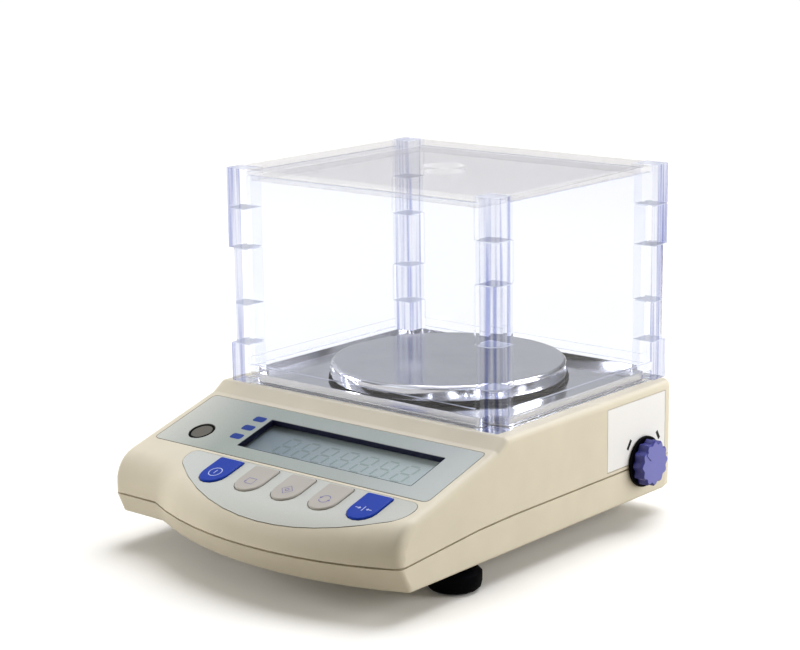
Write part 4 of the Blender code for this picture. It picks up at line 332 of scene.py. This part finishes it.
PAINTS = {
    "cream_plastic": moulded("cream_plastic_fine", CREAM, 0.42, gloss=0.35),
    # The label's stops are painted light: lighter with a painted glare towards its left end, darker through
    # its middle.
    "display_film": film_with_painted_light("label_fine", ((0.03, srgb(204, 206, 199)), (0.24, srgb(162, 171, 164)), (0.7, srgb(170, 178, 174)), (0.95, srgb(190, 196, 194)))),
    "white_film": moulded("white_film_fine", srgb(246, 246, 246), 0.4, 3000, 0.0, 0.01),
    # The shield's plates and its lid get a painted highlight, paler and milkier, on their narrow faces.
    "clear_plastic": clear("clear_plastic_fine", srgb(247, 249, 254), True, srgb(230, 235, 252), True),
    "clear_lid": clear("clear_lid_fine", srgb(232, 231, 234), False, srgb(254, 254, 255), ior=1.0),
    "pane": clear("pane_fine", srgb(240, 246, 246)),
    "lcd_grey": lcd_with_painted_light("lcd_fine", srgb(96, 112, 122), srgb(210, 219, 216)),
    "key_blue": moulded("key_blue_fine", srgb(14, 56, 164), 0.4, 2500, 0.00001, 0.02, gloss=0.22),
    "key_beige": moulded("key_beige_fine", srgb(184, 179, 171), 0.42, 2500, 0.00001, 0.02, gloss=0.3),
    # The knob's sides take a darker violet: partly the knob's own darker colour and partly painted shade on
    # the faces turned from the light.
    "knob_violet": moulded("knob_violet_fine", srgb(118, 120, 192), 0.36, 2200, 0.00001, 0.03, srgb(58, 60, 138), (1, 0, 0), 0.4),
    "dark_plastic": moulded("dark_plastic_fine", srgb(3, 3, 6), 0.6, gloss=0.04),
    "brushed_steel": metal("brushed_steel_fine", srgb(226, 226, 229), 0.12, spread=0.02),
    "plated_steel": metal("plated_steel_fine", srgb(200, 200, 203), 0.26),
    "aluminium": metal("aluminium_fine", srgb(215, 217, 220), 0.36, (1, 12, 12)),
    "brass": metal("brass_fine", srgb(214, 178, 104), 0.24, (14, 1, 1)),
    "rubber": moulded("rubber_fine", srgb(20, 20, 22), 0.7, 1500, gloss=0.2),
    "grey_rubber": moulded("grey_rubber_fine", srgb(126, 126, 128), 0.65, 1500, gloss=0.3),
    "circuit_board": moulded("circuit_board_fine", srgb(24, 104, 58), 0.4, 900),
    "grey_plastic": moulded("grey_plastic_fine", srgb(168, 168, 170), 0.42),
    "vial": moulded("vial_fine", srgb(92, 89, 79), 0.2, 60, 0.0, 0.02),
}

# The key sheet's stops are painted light too: a faint painted glare, lighter towards the left.
SHEET_PAINT = film_with_painted_light("sheet_fine", ((0.1, srgb(207, 211, 207)), (0.45, srgb(203, 206, 200)), (0.9, srgb(200, 202, 196))))

SLOT = {}
for entry in frame["record"]["subparts"]:
    SLOT[entry["node"]] = entry["material_slot"]

def soft_shading():
    """A node group that shades a mesh smooth, apart from its sharp edges."""
    group = bpy.data.node_groups.new("soft_shading", "GeometryNodeTree")
    group.interface.new_socket("Geometry", in_out="INPUT", socket_type="NodeSocketGeometry")
    group.interface.new_socket("Geometry", in_out="OUTPUT", socket_type="NodeSocketGeometry")
    start, end = group.nodes.new("NodeGroupInput"), group.nodes.new("NodeGroupOutput")
    faces, edges = (group.nodes.new("GeometryNodeSetShadeSmooth") for _ in range(2))
    edges.domain = "EDGE"
    angle = group.nodes.new("GeometryNodeInputMeshEdgeAngle")
    wide = group.nodes.new("FunctionNodeCompare")
    wide.data_type = "FLOAT"
    wide.operation = "GREATER_THAN"
    wide.inputs[1].default_value = math.radians(50)
    link = group.links.new
    link(start.outputs[0], faces.inputs["Geometry"])
    link(faces.outputs[0], edges.inputs["Geometry"])
    link(angle.outputs["Unsigned Angle"], wide.inputs[0])
    link(wide.outputs["Result"], edges.inputs["Selection"])
    edges.inputs["Shade Smooth"].default_value = False
    link(edges.outputs[0], end.inputs[0])
    return group


SOFT = soft_shading()

for name, obj in NODES.items():
    obj.data.materials.clear()
    paint = SHEET_PAINT if name == "key_sheet" else PAINTS[SLOT[name]]
    obj.data.materials.append(paint.material)
    weld = obj.modifiers.new("weld", "WELD")
    weld.merge_threshold = 0.000001
    bevel = obj.modifiers.new("edges", "BEVEL")
    bevel.width = 0.0003
    bevel.segments = 2
    bevel.limit_method = "ANGLE"
    bevel.angle_limit = math.radians(32)
    soft = obj.modifiers.new("soft", "NODES")
    soft.node_group = SOFT
    even = obj.modifiers.new("even", "WEIGHTED_NORMAL")
    even.keep_sharp = True


# ---------------------------------------------------------------- printed and fitted pieces

def console(x, v, height):
    """A point over the console: x across, v down from the crease, height out of the skin."""
    down = Vector((0, -math.cos(CONSOLE_ANGLE), -math.sin(CONSOLE_ANGLE)))
    return DECK + CREASE + Vector((x, 0, 0)) + down * v + Vector(CONSOLE_UP) * height


def add_piece(name, points, faces, paint, body):
    mesh = bpy.data.meshes.new(name)
    mesh.from_pydata([tuple(point) for point in points], [], faces)
    mesh.materials.append(paint.material)
    obj = bpy.data.objects.new(name, mesh)
    bpy.context.scene.collection.objects.link(obj)
    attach(obj, body)
    return obj


class Ink:
    """Flat strokes and patches in one plane, collected into one mesh."""

    def __init__(self, place):
        self.place = place
        self.points = []
        self.faces = []

    def patch(self, outline):
        first = len(self.points)
        self.points += [self.place(x, y) for x, y in outline]
        self.faces.append(tuple(range(first, len(self.points))))

    def stroke(self, path, width, closed=False):
        path = [Vector(point) for point in path]
        count = len(path)
        sides = []
        for k, point in enumerate(path):
            before = path[k - 1] if closed or k else point
            after = path[(k + 1) % count] if closed or k < count - 1 else point
            along = (after - before).normalized()
            across = Vector((-along.y, along.x)) * width / 2
            sides.append((point + across, point - across))
        first = len(self.points)
        for left, right in sides:
            self.points += [self.place(*left), self.place(*right)]
        for k in range(count if closed else count - 1):
            a = first + 2 * k
            b = first + 2 * ((k + 1) % count)
            self.faces.append((a, a + 1, b + 1, b))

    def arc(self, centre, radius, start, end, width, steps=24):
        path = []
        for k in range(steps + 1):
            angle = math.radians(start + (end - start) * k / steps)
            path.append((centre[0] + radius * math.cos(angle), centre[1] + radius * math.sin(angle)))
        self.stroke(path, width)

    def build(self, name, paint, body):
        return add_piece(name, self.points, self.faces, paint, body)


def rounded_box(x, y, width, height, radius, steps=6):
    """The outline of a rectangle with round corners, centred on x and y."""
    path = []
    for quarter, (sx, sy) in enumerate(((1, 1), (-1, 1), (-1, -1), (1, -1))):
        for k in range(steps + 1):
            angle = math.pi / 2 * (quarter + k / steps)
            px = x + sx * (width / 2 - radius) + radius * math.cos(angle)
            py = y + sy * (height / 2 - radius) + radius * math.sin(angle)
            path.append((px, py))
    return path


ICON_PALE = moulded("icon_pale", srgb(196, 208, 240), 0.4, 2500, 0.0, 0.01)
ICON_DARK = moulded("icon_dark", srgb(112, 108, 168), 0.4, 2500, 0.0, 0.01)
MARK_BLUE = moulded("mark_blue", srgb(14, 54, 138), 0.35, 2500, 0.0, 0.02, gloss=0.22)
TICK_BLACK = moulded("tick_black", srgb(14, 14, 14), 0.5, 2500, 0.0, 0.02, gloss=0.3)
# The liner's dark navy is partly the opening's own colour and partly painted shade in the recess.
LINER = moulded("window_liner", srgb(22, 24, 48), 0.5, 2500, 0.0, 0.03, gloss=0.2)
# The unlit segments carry the same painted light across the display, darker at the left and lighter towards
# the right.
GHOST = lcd_with_painted_light("ghost_segments", srgb(76, 95, 99), srgb(183, 196, 187))

KEYS = ("power", "menu", "select", "unit", "zero")
KEY_X = 0.0172
KEY_STEP = 0.0229
ICON_V = 0.0624
ICON_HEIGHT = 0.00094
LINE = 0.00042


def key_icons():
    for k, body in enumerate(KEYS):
        x = KEY_X + (k - 2) * KEY_STEP
        ink = Ink(lambda u, v, x=x: console(x + u, ICON_V - v, ICON_HEIGHT))
        if body == "power":
            ink.arc((0, 0), 0.0033, 0, 360, LINE, 40)
            ink.stroke([(0, -0.0014), (0, 0.0016)], LINE)
        elif body == "menu":
            ink.stroke([(-0.0018, -0.0024), (0.0024, -0.0024), (0.0024, 0.0018), (-0.0024, 0.0018), (-0.0024, -0.0008)], LINE)
            ink.patch([(-0.0031, -0.0008), (-0.0017, -0.0008), (-0.0024, -0.0022)])
        elif body == "select":
            ink.stroke([(0, -0.0032), (0.0032, 0), (0, 0.0032), (-0.0032, 0)], LINE, True)
            ink.arc((0, 0), 0.0009, 0, 360, LINE, 20)
        elif body == "unit":
            ink.arc((0, 0), 0.0027, 25, 165, LINE)
            ink.arc((0, 0), 0.0027, 205, 345, LINE)
            ink.patch([(-0.0035, 0.0009), (-0.0018, 0.0009), (-0.0026, -0.0006)])
            ink.patch([(0.0035, -0.0009), (0.0018, -0.0009), (0.0026, 0.0006)])
        else:
            for side in (-1, 1):
                ink.stroke([(side * 0.0046, 0), (side * 0.0018, 0)], LINE)
                ink.patch([(side * 0.0027, 0.0009), (side * 0.0027, -0.0009), (side * 0.0014, 0)])
            ink.stroke([(0, -0.0018), (0, 0.0018)], LINE)
        paint = ICON_PALE if body in ("power", "zero") else ICON_DARK
        ink.build(body + "_icon", paint, body)


def console_marks():
    ink = Ink(lambda u, v: console(u, v, 0.00015))
    for v in (0.0150, 0.0234, 0.0317):
        ink.patch(rounded_box(-0.0436, v, 0.0072, 0.0044, 0.0014))
    ink.build("function_marks", MARK_BLUE, "base")


def window_liner():
    """Dark walls inside the display's opening: partly the opening's own dark colour and partly painted shade
    in the recess.
    """
    left, right, top, bottom = -0.0374, 0.0706, 0.0129, 0.0385
    wall = 0.0004
    shy = 0.00003
    points = []
    for inset in (shy, wall):
        for height in (-0.00005, -0.0027):
            for x, v in ((left + inset, top + inset), (right - inset, top + inset), (right - inset, bottom - inset), (left + inset, bottom - inset)):
                points.append(console(x, v, height))
    faces = []
    for k in range(4):
        n = (k + 1) % 4
        faces.append((k, n, 4 + n, 4 + k))
        faces.append((8 + k, 12 + k, 12 + n, 8 + n))
        faces.append((k, 8 + k, 8 + n, n))
        faces.append((4 + k, 4 + n, 12 + n, 12 + k))
    add_piece("window_liner", points, faces, LINER, "base")


def ghost_digits():
    """Faint unlit segments of the display."""
    ink = Ink(lambda u, v: console(u, v, -0.00407))
    tall, wide, thick, slant = 0.0136, 0.0068, 0.0013, 0.14
    for k in range(7):
        x = -0.0215 + 0.0122 * k
        for a, b in (((0, 0), (1, 0)), ((0, 0.5), (1, 0.5)), ((0, 1), (1, 1)),
                     ((0, 0), (0, 0.5)), ((0, 0.5), (0, 1)), ((1, 0), (1, 0.5)), ((1, 0.5), (1, 1))):
            start = Vector((x + a[0] * wide + (1 - a[1]) * tall * slant, 0.0192 + a[1] * tall))
            end = Vector((x + b[0] * wide + (1 - b[1]) * tall * slant, 0.0192 + b[1] * tall))
            trim = (end - start).normalized() * thick * 0.6
            ink.stroke([start + trim, end - trim], thick)
    ink.build("ghost_digits", GHOST, "base")


def knob_marks():
    """Two plain marks beside the knob, on the side label."""
    x = 0.0913 + 0.00013
    ink = Ink(lambda u, v: DECK + Vector((x, u, v)))
    for a, b in KNOB_TICKS:
        ink.stroke([a, b], 0.0018)
    ink.build("knob_marks", TICK_BLACK, "base")


KNOB_TICKS = (
    ((0.0279, -0.0225), (0.0249, -0.0269)),
    ((0.0501, -0.0229), (0.0525, -0.0270)),
)

def level_window():
    """The dark window over the bubble level."""
    ink = Ink(lambda u, v: console(u, v, -0.0002))
    ink.patch([(-0.0655 + 0.0062 * math.cos(a), 0.0338 + 0.0062 * math.sin(a)) for a in (2 * math.pi * k / 48 for k in range(48))])
    ink.build("level_window", PAINTS["vial"], "base")


key_icons()
console_marks()
level_window()
window_liner()
ghost_digits()
knob_marks()


# ---------------------------------------------------------------- floor, light and camera

def make_stage():
    mesh = bpy.data.meshes.new("floor")
    s = 8
    mesh.from_pydata([(-s, -s, 0), (s, -s, 0), (s, s, 0), (-s, s, 0)], [], [(0, 1, 2, 3)])
    floor = bpy.data.objects.new("floor", mesh)
    bpy.context.scene.collection.objects.link(floor)
    p = Paint("floor")
    p.set(Roughness=0.9, Specular_IOR_Level=0.0)
    light = p.add("ShaderNodeLightPath")
    glow = p.add("ShaderNodeEmission")
    glow.inputs["Color"].default_value = FLOOR
    more = p.add("ShaderNodeMath", operation="MAXIMUM")
    p.link(light.outputs["Is Camera Ray"], more.inputs[0])
    p.link(light.outputs["Is Transmission Ray"], more.inputs[1])
    plain = p.add("ShaderNodeMath", operation="SUBTRACT", use_clamp=True)
    p.link(more.outputs["Value"], plain.inputs[0])
    p.link(light.outputs["Glossy Depth"], plain.inputs[1])
    tone = p.add("ShaderNodeMix", data_type="RGBA")
    tone.inputs["A"].default_value = FLOOR_BOUNCE
    tone.inputs["B"].default_value = FLOOR
    p.link(plain.outputs["Value"], tone.inputs["Factor"])
    p.link(tone.outputs["Result"], p.shader.inputs["Base Color"])
    away = p.add("ShaderNodeVectorMath", operation="LENGTH")
    p.link(p.coords, away.inputs[0])
    backdrop = p.add("ShaderNodeMapRange")
    backdrop.inputs["From Min"].default_value = 0.35
    backdrop.inputs["From Max"].default_value = 0.9
    backdrop.inputs["To Min"].default_value = 0.02
    backdrop.inputs["To Max"].default_value = 0.12
    p.link(away.outputs["Value"], backdrop.inputs["Value"])
    level = p.add("ShaderNodeMath", operation="MULTIPLY")
    p.link(plain.outputs["Value"], level.inputs[0])
    p.link(backdrop.outputs["Result"], level.inputs[1])
    p.link(level.outputs["Value"], glow.inputs["Strength"])
    both = p.add("ShaderNodeAddShader")
    p.link(p.shader.outputs["BSDF"], both.inputs[0])
    p.link(glow.outputs["Emission"], both.inputs[1])
    p.link(both.outputs["Shader"], p.output.inputs["Surface"])
    mesh.materials.append(p.material)

    world = bpy.data.worlds.new("studio")
    bpy.context.scene.world = world
    world.use_nodes = True
    nodes, links = world.node_tree.nodes, world.node_tree.links

    def math_node(operation, *inputs):
        node = nodes.new("ShaderNodeMath")
        node.operation = operation
        for k, value in enumerate(inputs):
            if isinstance(value, (int, float)):
                node.inputs[k].default_value = value
            else:
                links.new(value, node.inputs[k])
        return node.outputs["Value"]

    background = nodes["Background"]
    path = nodes.new("ShaderNodeLightPath")
    # What polished metal sees: panels and gaps all around, under a pale ceiling
    coords = nodes.new("ShaderNodeTexCoord")
    split = nodes.new("ShaderNodeSeparateXYZ")
    links.new(coords.outputs["Generated"], split.inputs["Vector"])
    turn = math_node("ARCTAN2", split.outputs["Y"], split.outputs["X"])
    around = math_node("MULTIPLY_ADD", turn, 1 / (2 * math.pi), 0.5)
    walls = nodes.new("ShaderNodeValToRGB")
    elements = walls.color_ramp.elements
    for place, value in ROOM:
        element = elements.new(place)
        element.color = (value, value, value, 1)
    elements.remove(elements[0])
    elements.remove(elements[-1])
    links.new(around, walls.inputs["Fac"])
    height = nodes.new("ShaderNodeMapRange")
    height.interpolation_type = "SMOOTHSTEP"
    height.inputs["From Min"].default_value = 0.25
    height.inputs["From Max"].default_value = 0.8
    links.new(split.outputs["Z"], height.inputs["Value"])
    room = nodes.new("ShaderNodeMix")
    links.new(height.outputs["Result"], room.inputs["Factor"])
    links.new(walls.outputs["Color"], room.inputs["A"])
    room.inputs["B"].default_value = 0.6
    direct = math_node("MAXIMUM", path.outputs["Is Camera Ray"], path.outputs["Is Transmission Ray"])
    bounced = math_node("MINIMUM", path.outputs["Glossy Depth"], 1.0)
    seen = nodes.new("ShaderNodeMix")
    links.new(direct, seen.inputs["Factor"])
    seen.inputs["A"].default_value = AMBIENT
    seen.inputs["B"].default_value = 1.0
    mirror = nodes.new("ShaderNodeMix")
    links.new(bounced, mirror.inputs["Factor"])
    links.new(seen.outputs["Result"], mirror.inputs["A"])
    links.new(room.outputs["Result"], mirror.inputs["B"])
    links.new(mirror.outputs["Result"], background.inputs["Strength"])
    tone = nodes.new("ShaderNodeMix")
    tone.data_type = "RGBA"
    links.new(math_node("MAXIMUM", direct, bounced), tone.inputs["Factor"])
    tone.inputs["A"].default_value = WARM
    tone.inputs["B"].default_value = (1, 1, 1, 1)
    links.new(tone.outputs["Result"], background.inputs["Color"])


def lamp(name, size, energy, place, target, color=(1, 1, 1)):
    data = bpy.data.lights.new(name, "AREA")
    data.shape = "RECTANGLE"
    data.size, data.size_y = size
    data.energy = energy
    data.color = color
    obj = bpy.data.objects.new(name, data)
    bpy.context.scene.collection.objects.link(obj)
    obj.location = place
    away = Vector(place) - Vector(target)
    obj.rotation_euler = away.to_track_quat("Z", "Y").to_euler()
    obj.visible_glossy = False
    return obj


def make_camera():
    yaw, pitch, roll = (math.radians(a) for a in (40.545, 12.596, -0.798))
    look = Vector((-math.sin(yaw) * math.cos(pitch), math.cos(yaw) * math.cos(pitch), -math.sin(pitch)))
    right = Vector((math.cos(yaw), math.sin(yaw), 0))
    up = right.cross(look)
    x = math.cos(roll) * right + math.sin(roll) * up
    y = -math.sin(roll) * right + math.cos(roll) * up
    data = bpy.data.cameras.new("camera")
    data.sensor_width = 36
    data.lens = 2091.5 / 800 * 36
    camera = bpy.data.objects.new("camera", data)
    bpy.context.scene.collection.objects.link(camera)
    place = Vector((0.6436, -0.7892, 0.2553)) + DECK
    turn = Matrix((x, y, -look)).transposed().to_4x4()
    camera.matrix_world = Matrix.Translation(place) @ turn
    bpy.context.scene.camera = camera


FLOOR = (0.99, 0.983, 0.962, 1)
FLOOR_BOUNCE = (0.55, 0.52, 0.46, 1)
AMBIENT = 0.22
WARM = (1.0, 0.96, 0.87, 1)
ROOM = (
    (0.02, 1.1), (0.08, 1.1), (0.11, 0.22), (0.165, 0.22), (0.19, 1.3), (0.22, 1.3), (0.27, 1.0),
    (0.31, 0.12), (0.37, 0.16), (0.4, 0.8), (0.43, 1.3),
    (0.5, 1.0), (0.58, 0.8), (0.66, 0.3), (0.76, 0.08), (0.81, 0.2), (0.85, 0.5), (0.9, 0.52), (0.97, 0.85),
)
SUN = Vector((-0.05, 0.5, 1.0))

make_stage()
sun = bpy.data.lights.new("sun", "SUN")
sun.energy = 0.75 * math.pi / SUN.normalized().z
sun.color = (1.0, 1.0, 1.02)
sun.angle = math.radians(50)
sun_object = bpy.data.objects.new("sun", sun)
bpy.context.scene.collection.objects.link(sun_object)
sun_object.rotation_euler = SUN.to_track_quat("Z", "Y").to_euler()
lamp("right", (0.5, 0.5), 4.8, (0.8, 0.5, 0.3), (0.05, 0, 0.05))
lamp("left", (0.5, 0.5), 12, (-1.2, -0.5, 0.24), (-0.05, -0.05, 0.05))
make_camera()
bpy.context.scene.view_settings.view_transform = "Standard"
